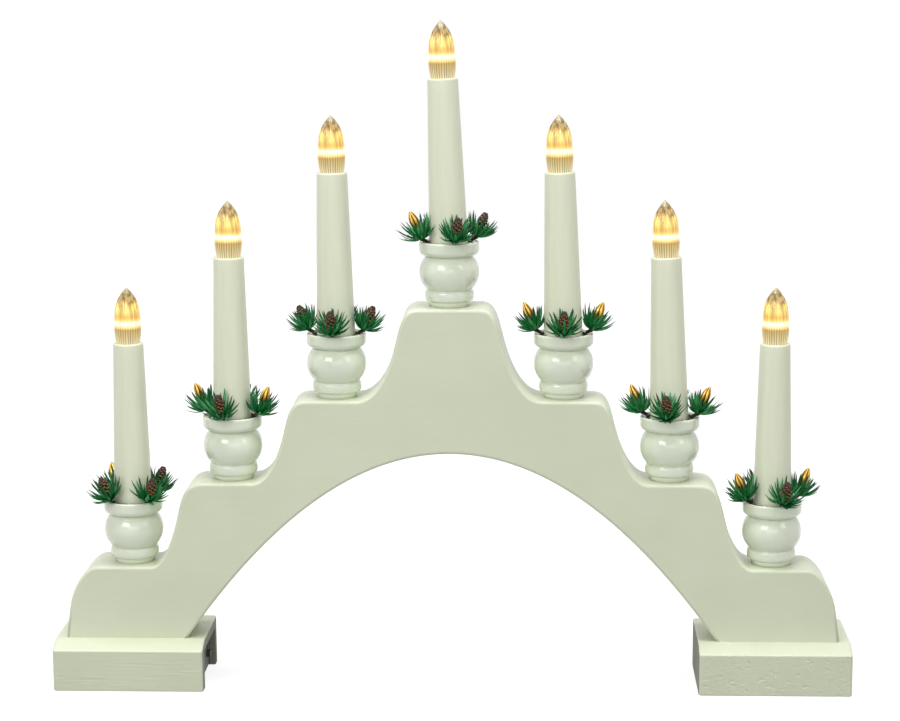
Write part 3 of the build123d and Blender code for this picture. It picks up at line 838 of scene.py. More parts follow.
ivory_bump = add(
    ivory,
    "ShaderNodeBump",
    {"Height": ivory_flow.outputs["Fac"], "Distance": 0.03 * MM, "Strength": 0.6},
)
fill(ivory_surface, {"Base Color": ivory_tint.outputs["Color"], "Normal": ivory_bump.outputs["Normal"]})


def tube_profile():
    """Outside of the tube from its foot, over the shoulder and down its inside again."""
    shoulder = candle_top_radius - candle_top_round
    inner_foot = candle_bottom_radius - candle_wall
    steps = 9
    profile = [(inner_foot, 0), (candle_bottom_radius - candle_foot_chamfer, 0)]
    profile += [(candle_bottom_radius, candle_foot_chamfer)]
    for step in range(1, steps):
        share = step / steps
        radius = candle_bottom_radius + (candle_top_radius - candle_bottom_radius) * share
        profile.append((radius, (candle_length - candle_top_round) * share))
    profile += bezier(
        (
            (candle_top_radius, candle_length - candle_top_round),
            (candle_top_radius, candle_length),
            (shoulder, candle_length),
        ),
        steps=8,
    )
    profile += [
        (flame_base_radius + flame_hole_gap, candle_length),
        (flame_base_radius + flame_hole_gap, candle_length - candle_wall),
        (candle_top_radius - candle_wall, candle_length - candle_wall),
        (inner_foot, 0),
    ]
    return profile


tube_mesh = turned("ivory_tube", tube_profile(), sides=80)
for number, tube in seven_alike("ivory_tube", tube_mesh, ivory, on_seat):
    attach(tube, "arch")
    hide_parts(f"candle_tube_{number}")


# Flames
# Clear moulded flame caps, pressed by a plug into the tubes. Fine flutes run up the waist, and the
# crown is cut into longer facets that break up the light inside.

flame_belly_radius = 6.75
flame_belly_height = 10.5
flame_waist_height_share = 0.35
flame_shoulder_height_share = 0.5
flame_taper_radius_share = 0.77
flame_taper_height_share = 0.71
flame_height = 27.8
flame_tip_radius = 0.25
flame_plug_length = 6.0
flame_plug_gap = 0.02
flame_cavity_radius = 2.85
flame_cavity_top = 10.2
flute_count = 32
flute_depth = 0.28
flute_start_fade = 0.6
flute_end_fade = 0.8
flute_top = 9.0
facet_count = 12
facet_fade = 4.0
facet_depth_share = 0.075


def flame_outline():
    """Places out and up of the flame from the tube's top to its tip."""
    taper = flame_height - flame_belly_height
    belly = (flame_belly_radius, flame_belly_height)
    waist = (flame_belly_radius, flame_belly_height * flame_waist_height_share)
    shoulder = (flame_belly_radius, flame_belly_height + taper * flame_shoulder_height_share)
    narrowing = (
        flame_belly_radius * flame_taper_radius_share,
        flame_belly_height + taper * flame_taper_height_share,
    )
    lower = bezier(((flame_base_radius, 0), waist, belly), steps=26)
    upper = bezier((belly, shoulder, narrowing, (flame_tip_radius, flame_height)), steps=34)
    return lower + upper[1:]


def circle(radius, height, sides):
    """Level ring of points round the upright axis."""
    turns = (2 * pi * index / sides for index in range(sides))
    return [(radius * cos(turn), radius * sin(turn), height) for turn in turns]


def clipped(share):
    """Share held between nothing and all."""
    return max(0, min(1, share))


def carved_reach(radius, height, turn):
    """Radius of the flame after its flutes low down and its facets higher up."""
    fluting = min(1, height / flute_start_fade) * clipped((flute_top - height) / flute_end_fade)
    groove = flute_depth * fluting * (0.5 + 0.5 * cos(flute_count * turn)) ** 2
    corner = (turn * facet_count / (2 * pi)) % 1 - 0.5
    flat = cos(pi / facet_count) / cos(2 * pi * corner / facet_count)
    crest = 1 - facet_depth_share * (0.5 + 0.5 * cos(facet_count * turn)) ** 3
    return (radius - groove) * (1 + clipped((height - flute_top) / facet_fade) * (flat * crest - 1))


def flame_shape():
    """Mesh of the flame: fluted waist, faceted crown, plug below and hollow inside."""
    points_per_flute = 6
    dome_steps = 6
    sides = flute_count * points_per_flute
    turns = [2 * pi * index / sides for index in range(sides)]
    rings = [circle(flame_base_radius, z, sides) for z in (-flame_plug_length, -flame_plug_gap)]
    for radius, z in flame_outline():
        reaches = [(carved_reach(radius, z, turn), turn) for turn in turns]
        rings.append([(reach * cos(turn), reach * sin(turn), z) for reach, turn in reaches])
    dome_foot = flame_cavity_top - flame_cavity_radius
    hollow = [(flame_cavity_radius, -flame_plug_length), (flame_cavity_radius, dome_foot)]
    for turn in (pi / 2 * step / dome_steps for step in range(1, dome_steps)):
        hollow.append((flame_cavity_radius * cos(turn), dome_foot + flame_cavity_radius * sin(turn)))
    bm = bmesh.new()
    rows = skin(bm, rings, capped=False)
    inner_rows = skin(bm, [circle(radius, z, sides) for radius, z in hollow], capped=False)
    tip = bm.verts.new((0, 0, flame_height * MM))
    crown = bm.verts.new((0, 0, flame_cavity_top * MM))
    for i in range(sides):
        after = (i + 1) % sides
        bm.faces.new((rows[-1][i], rows[-1][after], tip)).smooth = True
        bm.faces.new((inner_rows[-1][after], inner_rows[-1][i], crown)).smooth = True
        bm.faces.new((rows[0][after], rows[0][i], inner_rows[0][i], inner_rows[0][after]))
    soften(bm, radians(60))
    return finished("clear_flame", bm)


# Clear polystyrene, IOR 1.59, glass-smooth from the mould. It is lit from inside, and that light is
# painted
# on it as its own glow: pale amber in the fluted waist, deeper amber at the end of the flutes, white-hot
# level with the light, yellow above it, and brownish in the crown, where facets turn the light away.
clear, clear_surface = new_material(
    "clear_polystyrene_painted_glow", Roughness=0.12, IOR=1.59, Transmission_Weight=0.2
)
clear_place = add(clear, "ShaderNodeTexCoord").outputs["Object"]
clear_axes = add(clear, "ShaderNodeSeparateXYZ", {"Vector": clear_place})
clear_height = add(
    clear,
    "ShaderNodeMapRange",
    {"Value": clear_axes.outputs["Z"], "From Min": 0.0, "From Max": flame_height * MM},
).outputs["Result"]
# Colours of the painted glow, from the tube's top to the tip.
painted_glow_stops = (
    (0.00, "#D2C698"),
    (0.08, "#C4B484"),
    (0.18, "#B09C68"),
    (0.26, "#A8883E"),
    (0.32, "#D8A450"),
    (0.35, "#FFF2D0"),
    (0.39, "#FFFCEC"),
    (0.42, "#F0C468"),
    (0.50, "#E0B45C"),
    (0.58, "#F6DC80"),
    (0.70, "#FFE07C"),
    (0.76, "#D8B068"),
    (0.82, "#C0A46A"),
    (0.90, "#A08C5C"),
    (1.00, "#B8AC80"),
)
# The body colour carries painted light and shade as well: a pale band level with the light and a dark
# brown crown.
painted_body_light_stops = (
    (0.00, "#7E745A"),
    (0.26, "#8C7A50"),
    (0.32, "#F0E0B0"),
    (0.46, "#8C6830"),
    (0.65, "#A88C48"),
    (0.80, "#463618"),
    (1.00, "#6C6040"),
)
painted_glow_ramp = add(clear, "ShaderNodeValToRGB", {"Fac": clear_height}, stops=painted_glow_stops)
painted_body_ramp = add(clear, "ShaderNodeValToRGB", {"Fac": clear_height}, stops=painted_body_light_stops)

# Round the flame a painted shade line in each flute's groove, clearest low down.
clear_turn = add(
    clear,
    "ShaderNodeMath",
    {0: clear_axes.outputs["Y"], 1: clear_axes.outputs["X"]},
    operation="ARCTAN2",
)
clear_lines = add(
    clear, "ShaderNodeMath", {0: clear_turn.outputs[0], 1: float(flute_count)}, operation="MULTIPLY"
)
clear_wave = add(clear, "ShaderNodeMath", {0: clear_lines.outputs[0]}, operation="COSINE")
groove_shade_level = add(
    clear,
    "ShaderNodeMapRange",
    {"Value": clear_height, "From Min": 0.25, "From Max": 0.4, "To Min": 0.3, "To Max": 0.8},
)
painted_groove_shade = add(
    clear,
    "ShaderNodeMapRange",
    {
        "Value": clear_wave.outputs[0],
        "From Min": -0.2,
        "From Max": 0.9,
        "To Min": 1.05,
        "To Max": groove_shade_level.outputs["Result"],
    },
)

# Up the flame painted streaks of shade in the glow, about 1.6 mm apart, deepest in the crown.
clear_draw = add(clear, "ShaderNodeMapping", {"Vector": clear_place, "Scale": (1, 1, 0.12)})
painted_streak_noise = add(
    clear,
    "ShaderNodeTexNoise",
    {"Vector": clear_draw.outputs[0], "Scale": 1 / (1.6 * MM), "Detail": 2.0},
)
streak_shade_level = add(
    clear,
    "ShaderNodeMapRange",
    {"Value": clear_height, "From Min": 0.3, "From Max": 0.75, "To Min": 0.9, "To Max": 0.2},
)
painted_streaks = add(
    clear,
    "ShaderNodeMapRange",
    {
        "Value": painted_streak_noise.outputs["Fac"],
        "From Min": 0.4,
        "From Max": 0.6,
        "To Min": streak_shade_level.outputs["Result"],
        "To Max": 1.1,
    },
)
# The painted groove shade and painted streaks together set the strength of the painted glow.
painted_glow_strength = add(
    clear,
    "ShaderNodeMath",
    {0: painted_groove_shade.outputs["Result"], 1: painted_streaks.outputs["Result"]},
    operation="MULTIPLY",
)
fill(
    clear_surface,
    {
        "Base Color": painted_body_ramp.outputs["Color"],
        "Emission Color": painted_glow_ramp.outputs["Color"],
        "Emission Strength": painted_glow_strength.outputs[0],
    },
)


def on_tube(number, place, ledge):
    """Frame on the top of a candle's tube."""
    return on_seat(number, place, ledge) @ Matrix.Translation((0, 0, candle_length))


for number, flame in seven_alike("clear_flame", flame_shape(), clear, on_tube):
    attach(flame, "arch")
    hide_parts(f"flame_lens_{number}")


# Lights
# Warm white 5 mm lights, one inside each flame, shining. Each has a flange, a round dome and two
# square legs that the wires are soldered to.

led_radius = 2.5
led_flange_radius = 2.7
led_flange_height = 1.0
led_height = 8.6
led_base_height = 1.2
led_leg_width = 0.5
led_leg_length = 13.0
led_leg_root = 0.2
core_spacing = 2.54

# Cast epoxy, lit by its chip: amber low down and white-hot through the dome.
lit_epoxy, lit_surface = new_material(
    "lit_epoxy", Roughness=0.2, IOR=1.55, Base_Color=linear("#FFF3D0")
)
lit_place = add(lit_epoxy, "ShaderNodeTexCoord").outputs["Object"]
lit_axes = add(lit_epoxy, "ShaderNodeSeparateXYZ", {"Vector": lit_place})
lit_height = add(
    lit_epoxy,
    "ShaderNodeMapRange",
    {
        "Value": lit_axes.outputs["Z"],
        "From Min": (led_base_height + led_height - 2 * led_radius) * MM,
        "From Max": (led_base_height + led_height) * MM,
        "To Min": 0.5,
        "To Max": 5.0,
    },
).outputs["Result"]
lit_colour = add(
    lit_epoxy,
    "ShaderNodeValToRGB",
    {"Fac": lit_height},
    stops=((0.0, "#E8A850"), (1.0, "#FFF0CC")),
)
fill(lit_surface, {"Emission Color": lit_colour.outputs["Color"], "Emission Strength": lit_height})


def clouded(name, cloud_size, stops, detail=2.0, **sockets):
    """Material tinted along its stops' colours in clouds of a size in mm, with the cloud's share."""
    material, surface = new_material(name, **sockets)
    place = add(material, "ShaderNodeTexCoord").outputs["Object"]
    cloud = add(
        material,
        "ShaderNodeTexNoise",
        {"Vector": place, "Scale": 1 / (cloud_size * MM), "Detail": detail},
    ).outputs["Fac"]
    tint = add(material, "ShaderNodeValToRGB", {"Fac": cloud}, stops=stops)
    fill(surface, {"Base Color": tint.outputs["Color"]})
    return material, surface, cloud


# Tin-plated steel of the legs: a soft grey metal, faintly mottled by the solder.
tin, _, _ = clouded(
    "tinned_steel",
    cloud_size=1.0,
    stops=((0.3, "#A9A9A6"), (0.7, "#C4C4C0")),
    Metallic=1.0,
    Roughness=0.35,
)


def led_profile():
    """Outside of the light's resin from the middle of its base to the top of its dome."""
    dome_steps = 8
    dome_foot = led_base_height + led_height - led_radius
    flange_top = led_base_height + led_flange_height
    profile = [(0, led_base_height), (led_flange_radius, led_base_height)]
    profile += [(led_flange_radius, flange_top), (led_radius, flange_top)]
    for step in range(dome_steps):
        turn = pi / 2 * step / dome_steps
        profile.append((led_radius * cos(turn), dome_foot + led_radius * sin(turn)))
    return profile + [(0, dome_foot + led_radius)]


def square_leg(bm, y):
    """Leg of a light, from inside its flange down."""
    half = led_leg_width / 2
    lower, upper = led_base_height - led_leg_length, led_base_height + led_leg_root
    before = len(bm.faces)
    corners = ((-half, y - half), (half, y - half), (half, y + half), (-half, y + half))
    skin(bm, [[(*corner, z) for corner in corners] for z in (lower, upper)])
    bm.faces.ensure_lookup_table()
    for face in bm.faces[before:]:
        face.material_index = 1
        face.smooth = False


def light_on_legs():
    """Mesh of a light: its resin, then two legs in the second material."""
    mesh = turned("round_light", led_profile(), sides=40)
    mesh.materials.append(lit_epoxy)
    mesh.materials.append(tin)
    bm = bmesh.new()
    bm.from_mesh(mesh)
    for side in (-1, 1):
        square_leg(bm, side * core_spacing / 2)
    bm.to_mesh(mesh)
    bm.free()
    return mesh


for number, led in seven_alike("round_light", light_on_legs(), None, on_tube):
    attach(led, "arch")
    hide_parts(f"led_{number}")


# Pine rings
# A ring of florist's wire wound with brown crepe, dropped over the candle onto the cup's rim, with
# four sprigs of soft PVC needles wired to it. The needles are cut from green film, darker at the tip.

ring_radius = 11.2
ring_wire_radius = 0.6
ring_below_lip = 1.15
sprig_count = 4
sprig_root_radius = 13.8
sprig_root_over_lip = 1.3
sprig_tilt = radians(23.0)
ring_turns = [radians(turn) for turn in (-137.0, -104.0, -94.0, -74.0, -90.0, -99.0, -72.0)]
reach_limit = 26.3
tube_clearance = 9.6
knot_radius = 1.1
knot_place = (-3.8, 0, -3.0)
glue_dot_radius = 0.7
glue_dot_run = -2.4
glue_dot_rise = -2.2
needle_root_radius = 0.7
needle_tip_half_width = 0.07
needle_ridge_height = 0.06
stem_start_radius = 0.75
stem_swelling = 0.35
stem_overlap = 0.5
needle_rounds = (
    # how many, spread in degrees at the root and at the tip, length, width
    (20, 80.0, 24.0, 11.4, 1.6),
    (17, 58.0, 12.0, 13.8, 1.6),
    (10, 40.0, 6.0, 13.2, 1.5),
)

# Calendered PVC film, IOR 1.54: a vivid blue-green with a dull sheen, nearly black at the cut tips.
# About half the strips are paler, as the sheet's two sides take the dye unequally.
pine_green, pine_surface = new_material(
    "green_pvc_film", Roughness=0.55, IOR=1.54, Specular_IOR_Level=0.3
)
pine_share = add(pine_green, "ShaderNodeAttribute", attribute_name="needle_share")
pine_run = add(
    pine_green,
    "ShaderNodeValToRGB",
    {"Fac": pine_share.outputs["Fac"]},
    stops=((0.0, "#002A12"), (0.4, "#00823A"), (0.75, "#00602C"), (0.95, "#031C0D"), (1.0, "#02140A")),
)
pine_tone = add(pine_green, "ShaderNodeAttribute", attribute_name="needle_tone")
pine_light = add(
    pine_green,
    "ShaderNodeMapRange",
    {"Value": pine_tone.outputs["Fac"], "From Min": 0.55, "From Max": 1.0, "To Min": 0.0, "To Max": 0.75},
)
pine_mix = add(
    pine_green,
    "ShaderNodeMix",
    {
        "Factor": pine_light.outputs["Result"],
        colour_a: pine_run.outputs["Color"],
        colour_b: linear("#5CB878"),
    },
    data_type="RGBA",
    blend_type="MIX",
)
fill(pine_surface, {"Base Color": pine_mix.outputs[mixed_colour]})

# Crepe-wound wire: matt dark brown, in turns that the mesh carries.
crepe, _, _ = clouded(
    "brown_crepe",
    cloud_size=0.5,
    stops=((0.3, "#160E0A"), (0.7, "#4A382A")),
    detail=4.0,
    Roughness=0.85,
)

# Hot-melt glue, IOR 1.48: a milky, glossy bead, clouded where it cooled fast.
glue, _, _ = clouded(
    "hot_melt_glue",
    cloud_size=1.0,
    stops=((0.3, "#E4E6DC"), (0.7, "#F6F7F2")),
    Roughness=0.15,
    IOR=1.48,
    Transmission_Weight=0.3,
)


def needle_course(start_spread, end_spread, length, steps=8):
    """Share, point and direction along a needle that leaves its root at one spread and ends at another."""
    point = Vector((0, 0, 0))
    for step in range(steps + 1):
        spread = start_spread + (end_spread - start_spread) * step / steps
        run = Vector((sin(spread), 0, cos(spread)))
        yield step / steps, point.copy(), run
        point += run * (length / steps)


def fitting_length(place, start_spread, end_spread, length):
    """Length that keeps a needle's tip off the candle and about within the feet's depth."""
    trim = 0.95
    while True:
        *_, (_, point, _) = needle_course(start_spread, end_spread, length)
        tip = place @ point
        if abs(tip.y) < reach_limit and tip.xy.length > tube_clearance:
            return length
        length *= trim


def needle(bm, layers, tone, place, start_spread, end_spread, length, width):
    """One strip of film, folded a little along its middle and cut to a point."""
    side = Vector((0, 1, 0))
    fold = 0.4
    root_width_share = 0.6
    widening = 1.6
    shares = []
    rings = []
    length = fitting_length(place, start_spread, end_spread, length)
    for share, point, run in needle_course(start_spread, end_spread, length):
        lift = side.cross(run)
        fullness = min(1, root_width_share + share * widening) * (1 - share**4)
        half = width / 2 * fullness + needle_tip_half_width
        lip = lift * -fold * half * 2
        ridge = point - lift * needle_ridge_height
        corners = (point + side * half + lip, ridge, point - side * half + lip)
        rings.append([place @ corner for corner in corners])
        shares.append(share)
    for share, row in zip(shares, skin(bm, rings)):
        for vert in row:
            vert[layers[0]] = share
            vert[layers[1]] = tone


def sprig(bm, layers, dice, root):
    """Bunch of needles in rounds about the sprig's axis, from wide and low to narrow and high."""
    unevenness = 0.3
    greatest_lean = 8
    length_shares = (0.85, 1.06)
    width_shares = (0.75, 1.15)
    out = Matrix.Translation((needle_root_radius, 0, 0))
    for count, start_spread, end_spread, length, width in needle_rounds:
        first = dice.uniform(0, 2 * pi)
        for index in range(count):
            around = first + 2 * pi * (index + dice.uniform(-unevenness, unevenness)) / count
            lean = dice.uniform(-greatest_lean, greatest_lean)
            needle(
                bm,
                layers,
                dice.random(),
                root @ Matrix.Rotation(around, 4, "Z") @ out,
                radians(start_spread + lean),
                radians(end_spread + lean),
                length * dice.uniform(*length_shares),
                width * dice.uniform(*width_shares),
            )


def lump(bm, dice, middle, radius, slot_index):
    """Uneven bead, such as a knot of crepe or a dot of glue."""
    around_swell = 0.1
    around_waves = 3
    upward_swell = 0.08
    upward_waves = 5
    flattening = 0.8
    before = len(bm.verts)
    bmesh.ops.create_icosphere(bm, subdivisions=3, radius=radius * MM)
    bm.verts.ensure_lookup_table()
    swirl = dice.uniform(0, 2 * pi)
    for vert in bm.verts[before:]:
        x, y, z = vert.co
        swell = 1 + around_swell * sin(around_waves * atan2(y, x) + swirl)
        swell += upward_swell * sin(z / radius / MM * upward_waves + swirl)
        vert.co = Vector(middle) * MM + Vector((x, y, z * flattening)) * swell
        for face in vert.link_faces:
            face.material_index = slot_index
            face.smooth = True


def wire_ring(bm, rounds=120, sides=10):
    """Wound wire: a ring whose skin swells and pinches with each turn of the crepe."""
    swelling_share = 0.1
    steps_per_turn = 2.4
    rows = []
    for step in range(rounds):
        turn = 2 * pi * step / rounds
        ring = []
        for index in range(sides):
            across = 2 * pi * index / sides
            wave = sin(step * 2 * pi / steps_per_turn + across)
            swell = ring_wire_radius * (1 - swelling_share + swelling_share * wave)
            out = ring_radius + swell * cos(across)
            height = cup_height - ring_below_lip + swell * sin(across)
            ring.append(bm.verts.new(Vector((out * cos(turn), out * sin(turn), height)) * MM))
        rows.append(ring)
    for step in range(rounds):
        lower, upper = rows[step], rows[(step + 1) % rounds]
        for index in range(sides):
            after = (index + 1) % sides
            face = bm.faces.new((lower[index], lower[after], upper[after], upper[index]))
            face.smooth = True
            face.material_index = 1


def stem(bm, root):
    """Crepe-wound stem from the ring to a sprig's root."""
    start = Vector((ring_radius - sprig_root_radius, 0, -sprig_root_over_lip))
    along = -start.normalized()
    side = Vector((0, 1, 0))
    up = side.cross(along)
    steps = 8
    sides = 8
    turns = [2 * pi * index / sides for index in range(sides)]
    rings = []
    for step in range(steps + 1):
        share = step / steps
        reach = stem_start_radius + stem_swelling * share
        middle = start * (1 - share) + along * stem_overlap * share
        rings.append([root @ (middle + (side * cos(turn) + up * sin(turn)) * reach) for turn in turns])
    before = len(bm.faces)
    skin(bm, rings)
    bm.faces.ensure_lookup_table()
    for face in bm.faces[before:]:
        face.material_index = 1


def sprig_places(ring_turn):
    """Frame of each sprig's root on a turned ring, its tilt still to come."""
    for index in range(sprig_count):
        turn = Matrix.Rotation(ring_turn + 2 * pi * index / sprig_count, 4, "Z")
        yield index, turn @ Matrix.Translation((sprig_root_radius, 0, cup_height + sprig_root_over_lip))


first_ring_seed = 41
for number, place, ledge in candle_ledges():
    dice = random.Random(first_ring_seed + number - 1)
    bm = bmesh.new()
    layers = [bm.verts.layers.float.new(name) for name in ("needle_share", "needle_tone")]
    wire_ring(bm)
    for _, root in sprig_places(ring_turns[number - 1]):
        stem(bm, root)
        sprig(bm, layers, dice, root @ Matrix.Rotation(sprig_tilt, 4, "Y"))
    for _, root in sprig_places(ring_turns[number - 1] + pi / sprig_count):
        lump(bm, dice, root @ Vector(knot_place), knot_radius, 1)
        glue_dot_place = (glue_dot_run, dice.uniform(-1, 1), glue_dot_rise)
        lump(bm, dice, root @ Vector(glue_dot_place), glue_dot_radius, 2)
    name = f"pine_wreath_{number}"
    ring = stand(name, finished(name, bm), pine_green, on_ledge(number, place, ledge))
    ring.data.materials.append(crepe)
    ring.data.materials.append(glue)
    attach(ring, "arch")
    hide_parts(f"pine_ring_{number}")


# Cones
# Small real larch cones, brown with paler scale edges, and longer buds dipped in gold paint. Each is
# glued into the middle of a sprig.

brown_cone_length = 8.8
brown_cone_radius = 3.3
gold_cone_length = 10.4
gold_cone_radius = 2.4
cone_start = 4.6
ring_cone_kinds = ("bbbg", "bgbg", "bbgb", "bbgg", "bgbg", "bgbg", "bgbg")

# Dry cone wood, unfinished: matt red-brown, almost black between the scales, tan along their rims.
cone_wood, cone_surface = new_material("dry_cone_wood", Roughness=0.7)
cone_share = add(cone_wood, "ShaderNodeAttribute", attribute_name="scale_share")
cone_tint = add(
    cone_wood,
    "ShaderNodeValToRGB",
    {"Fac": cone_share.outputs["Fac"]},
    stops=((0.0, "#1E0E06"), (0.55, "#5A3218"), (0.85, "#8A5A34"), (1.0, "#C9A274")),
)
fill(cone_surface, {"Base Color": cone_tint.outputs["Color"]})

# Bronze-powder paint over the bud: a bright warm gold on the ridges, brown where it ran thin.
gold_paint, gold_surface = new_material("bronze_powder_paint", Metallic=0.85, Roughness=0.3)
gold_share = add(gold_paint, "ShaderNodeAttribute", attribute_name="scale_share")
gold_tint = add(
    gold_paint,
    "ShaderNodeValToRGB",
    {"Fac": gold_share.outputs["Fac"]},
    stops=((0.15, "#6E4414"), (0.7, "#E8BC5C")),
)
fill(gold_surface, {"Base Color": gold_tint.outputs["Color"]})


def cone_reach(share):
    """Radius of a brown cone at a share of its length: full low down and closing to a blunt tip."""
    start_share = 0.14
    run_share = 0.8
    bluntness = 0.75
    return brown_cone_radius * sin(pi * min(1, share * run_share + start_share)) ** bluntness


def cone_scale(bm, shares, at, size):
    """One scale of a cone: a little shell in shares of its size, dark where it joins the core."""
    rim_turns = [radians(turn) for turn in (-110, -65, -25, 0, 25, 65, 110)]
    rim_middle = 0.55
    rim_half_length = 0.5
    rim_half_width = 0.72
    crown_run = 0.5
    crown_height = 0.32
    keel_run = 0.3
    keel_depth = 0.3
    crown_tone = 0.5
    root_tone = 0.15
    crown = bm.verts.new((at @ Vector((size * crown_run, 0, size * crown_height))) * MM)
    keel = bm.verts.new((at @ Vector((size * keel_run, 0, -size * keel_depth))) * MM)
    crown[shares] = crown_tone
    keel[shares] = 0.0
    edge = []
    for turn in rim_turns:
        reach = size * (rim_middle + rim_half_length * cos(turn))
        point = Vector((reach, size * rim_half_width * sin(turn), 0.0))
        edge.append(bm.verts.new((at @ point) * MM))
        edge[-1][shares] = 1.0
    edge[0][shares] = root_tone
    edge[-1][shares] = root_tone
    for a, b in zip(edge, edge[1:] + edge[:1]):
        bm.faces.new((a, b, crown))
        bm.faces.new((b, a, keel))


def scaled_cone(bm, shares, at):
    """Cone of overlapping scales set in a spiral round a slimmer core."""
    core_width_share = 0.72
    core_shares = (0.02, 0.2, 0.4, 0.6, 0.8, 0.95)
    scale_count = 44
    first_share = 0.04
    spread_share = 0.9
    set_back_share = 0.62
    scales_per_radius = 2.1
    shrinking_share = 0.45
    lowest_lift = 34
    lift_growth = 26
    golden_turn = pi * (3 - sqrt(5))
    core = []
    for share in core_shares:
        ring = circle(core_width_share * cone_reach(share), brown_cone_length * share, sides=10)
        core.append([at @ Vector(point) for point in ring])
    skin(bm, core)
    for index in range(scale_count):
        share = first_share + spread_share * (index / scale_count)
        turn = Matrix.Rotation(index * golden_turn, 4, "Z")
        reach = cone_reach(share) * set_back_share
        set_back = Matrix.Translation((reach, 0, brown_cone_length * share))
        lift = Matrix.Rotation(radians(lowest_lift + lift_growth * share), 4, "Y")
        size = brown_cone_radius / scales_per_radius * (1 - shrinking_share * share)
        cone_scale(bm, shares, at @ turn @ set_back @ lift, size)


def gilded_bud(bm, shares, at):
    """Slim bud with long ridges that twist a little towards its tip."""
    sides = 48
    ridges = 6
    steps = 18
    twist = 2.2
    start_share = 0.1
    run_share = 0.86
    bluntness = 0.8
    ridge_share = 0.2
    ridge_fullness = 0.6
    rings = []
    ridge_heights = []
    for step in range(steps + 1):
        share = step / steps
        reach = gold_cone_radius * sin(pi * (start_share + run_share * share)) ** bluntness
        ring = []
        for index in range(sides):
            turn = 2 * pi * index / sides
            ridge = 0.5 + 0.5 * cos(ridges * turn + twist * share)
            out = reach * (1 - ridge_share + ridge_share * ridge**ridge_fullness)
            ring.append(at @ Vector((out * cos(turn), out * sin(turn), gold_cone_length * share)))
            ridge_heights.append(ridge)
        rings.append(ring)
    verts = [vert for row in skin(bm, rings) for vert in row]
    for vert, ridge in zip(verts, ridge_heights):
        vert[shares] = ridge


for kind, name, material, node, make in (
    ("b", "brown_cones", cone_wood, "brown_cones", scaled_cone),
    ("g", "gold_buds", gold_paint, "gold_cones", gilded_bud),
):
    for number, place, ledge in candle_ledges():
        bm = bmesh.new()
        shares = bm.verts.layers.float.new("scale_share")
        for index, root in sprig_places(ring_turns[number - 1]):
            if ring_cone_kinds[number - 1][index] == kind:
                tilt = Matrix.Rotation(sprig_tilt, 4, "Y")
                make(bm, shares, root @ tilt @ Matrix.Translation((0, 0, cone_start)))
        cones = stand(
            f"{name}_{number}", finished(name, bm), material, on_ledge(number, place, ledge)
        )
        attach(cones, "arch")
        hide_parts(node)


# Wiring
# Fine copper wires in grey PVC: one lead laid in the board's groove before the strip was glued over
# it, and a pair down each candle, soldered to the light's legs. All of them are hidden in use.

# Extruded PVC insulation, IOR 1.53: smooth, pale grey, a little glossy.
sheath, _, _ = clouded(
    "pvc_insulation",
    cloud_size=6.0,
    stops=((0.0, "#C6C6BC"), (1.0, "#D4D4CA")),
    Roughness=0.4,
    IOR=1.53,
)


def finish_solids(nodes, material):
    """Gives the frame's own solids their material."""
    for node in nodes:
        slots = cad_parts[node].data.materials
        slots.clear()
        slots.append(material)


finish_solids(("main_lead", "candle_wires"), sheath)


# Battery box and its cover
# A black moulded tray that foam tape holds up in the left foot, for two cells, with a cover that
# slides out of the foot's open end.

# Moulded ABS in black, IOR 1.53, dull from the mould's spark-eroded grain. The grain is drawn at
# 0.35 mm, coarser than it is, so that it shows.
black, black_surface, black_grain = clouded(
    "black_abs",
    cloud_size=0.35,
    stops=((0.0, "#121211"), (1.0, "#232321")),
    Roughness=0.55,
    IOR=1.53,
)
black_bump = add(
    black, "ShaderNodeBump", {"Height": black_grain, "Distance": 0.02 * MM, "Strength": 0.8}
)
fill(black_surface, {"Normal": black_bump.outputs["Normal"]})
finish_solids(("battery_box", "battery_cover", "switch_body", "switch_knob"), black)

# Printed shrink film on the cells, left plain: dark grey, glossy.
wrap, _, _ = clouded(
    "shrink_film",
    cloud_size=8.0,
    stops=((0.0, "#2C2D31"), (1.0, "#3A3B40")),
    Roughness=0.25,
    IOR=1.5,
)
finish_solids(("battery_1", "battery_2"), wrap)

# Nickel-plated spring steel: bright, slightly yellow, faintly clouded by its plating.
nickel, _, _ = clouded(
    "nickel_plated_steel",
    cloud_size=1.0,
    stops=((0.0, "#BDB8AC"), (1.0, "#D6D1C5")),
    Metallic=1.0,
    Roughness=0.22,
)
finish_solids(("contact_plates", "contact_springs"), nickel)

# Polyethylene foam tape: white and matt, in cells about 0.6 mm across.
foam, foam_surface = new_material("polyethylene_foam", Roughness=0.9)
foam_place = add(foam, "ShaderNodeTexCoord").outputs["Object"]
foam_cells = add(foam, "ShaderNodeTexVoronoi", {"Vector": foam_place, "Scale": 1 / (0.6 * MM)})
foam_tint = add(
    foam,
    "ShaderNodeValToRGB",
    {"Fac": foam_cells.outputs["Distance"]},
    stops=((0.0, "#E4E3DC"), (1.0, "#C9C8C0")),
)
fill(foam_surface, {"Base Color": foam_tint.outputs["Color"]})
finish_solids(("box_tape",), foam)


# Floor and studio
# A seamless sheet of white paper that the arch stands on, in a white tent, with a soft box on either
# side, a wide one low in front and another overhead.

# Matt coated paper. It shines a little to the camera and in reflections, so that it reads as white
# all over and still takes the arch's shadow.
paper, paper_surface = new_material(
    "white_paper", Roughness=0.9, Base_Color=linear("#8C8C8A"), Emission_Color=linear("#FFFFFF")
)
paper_shine = 0.84
floor_reach = 1500.0


def seen_directly(material):
    """Socket that is 1 for rays from the camera, a reflection or clear plastic, and 0 for others."""
    rays = add(material, "ShaderNodeLightPath")
    either = add(
        material,
        "ShaderNodeMath",
        {0: rays.outputs["Is Camera Ray"], 1: rays.outputs["Is Glossy Ray"]},
        operation="MAXIMUM",
    )
    seen = add(
        material,
        "ShaderNodeMath",
        {0: either.outputs[0], 1: rays.outputs["Is Transmission Ray"]},
        operation="MAXIMUM",
    )
    return seen.outputs[0]


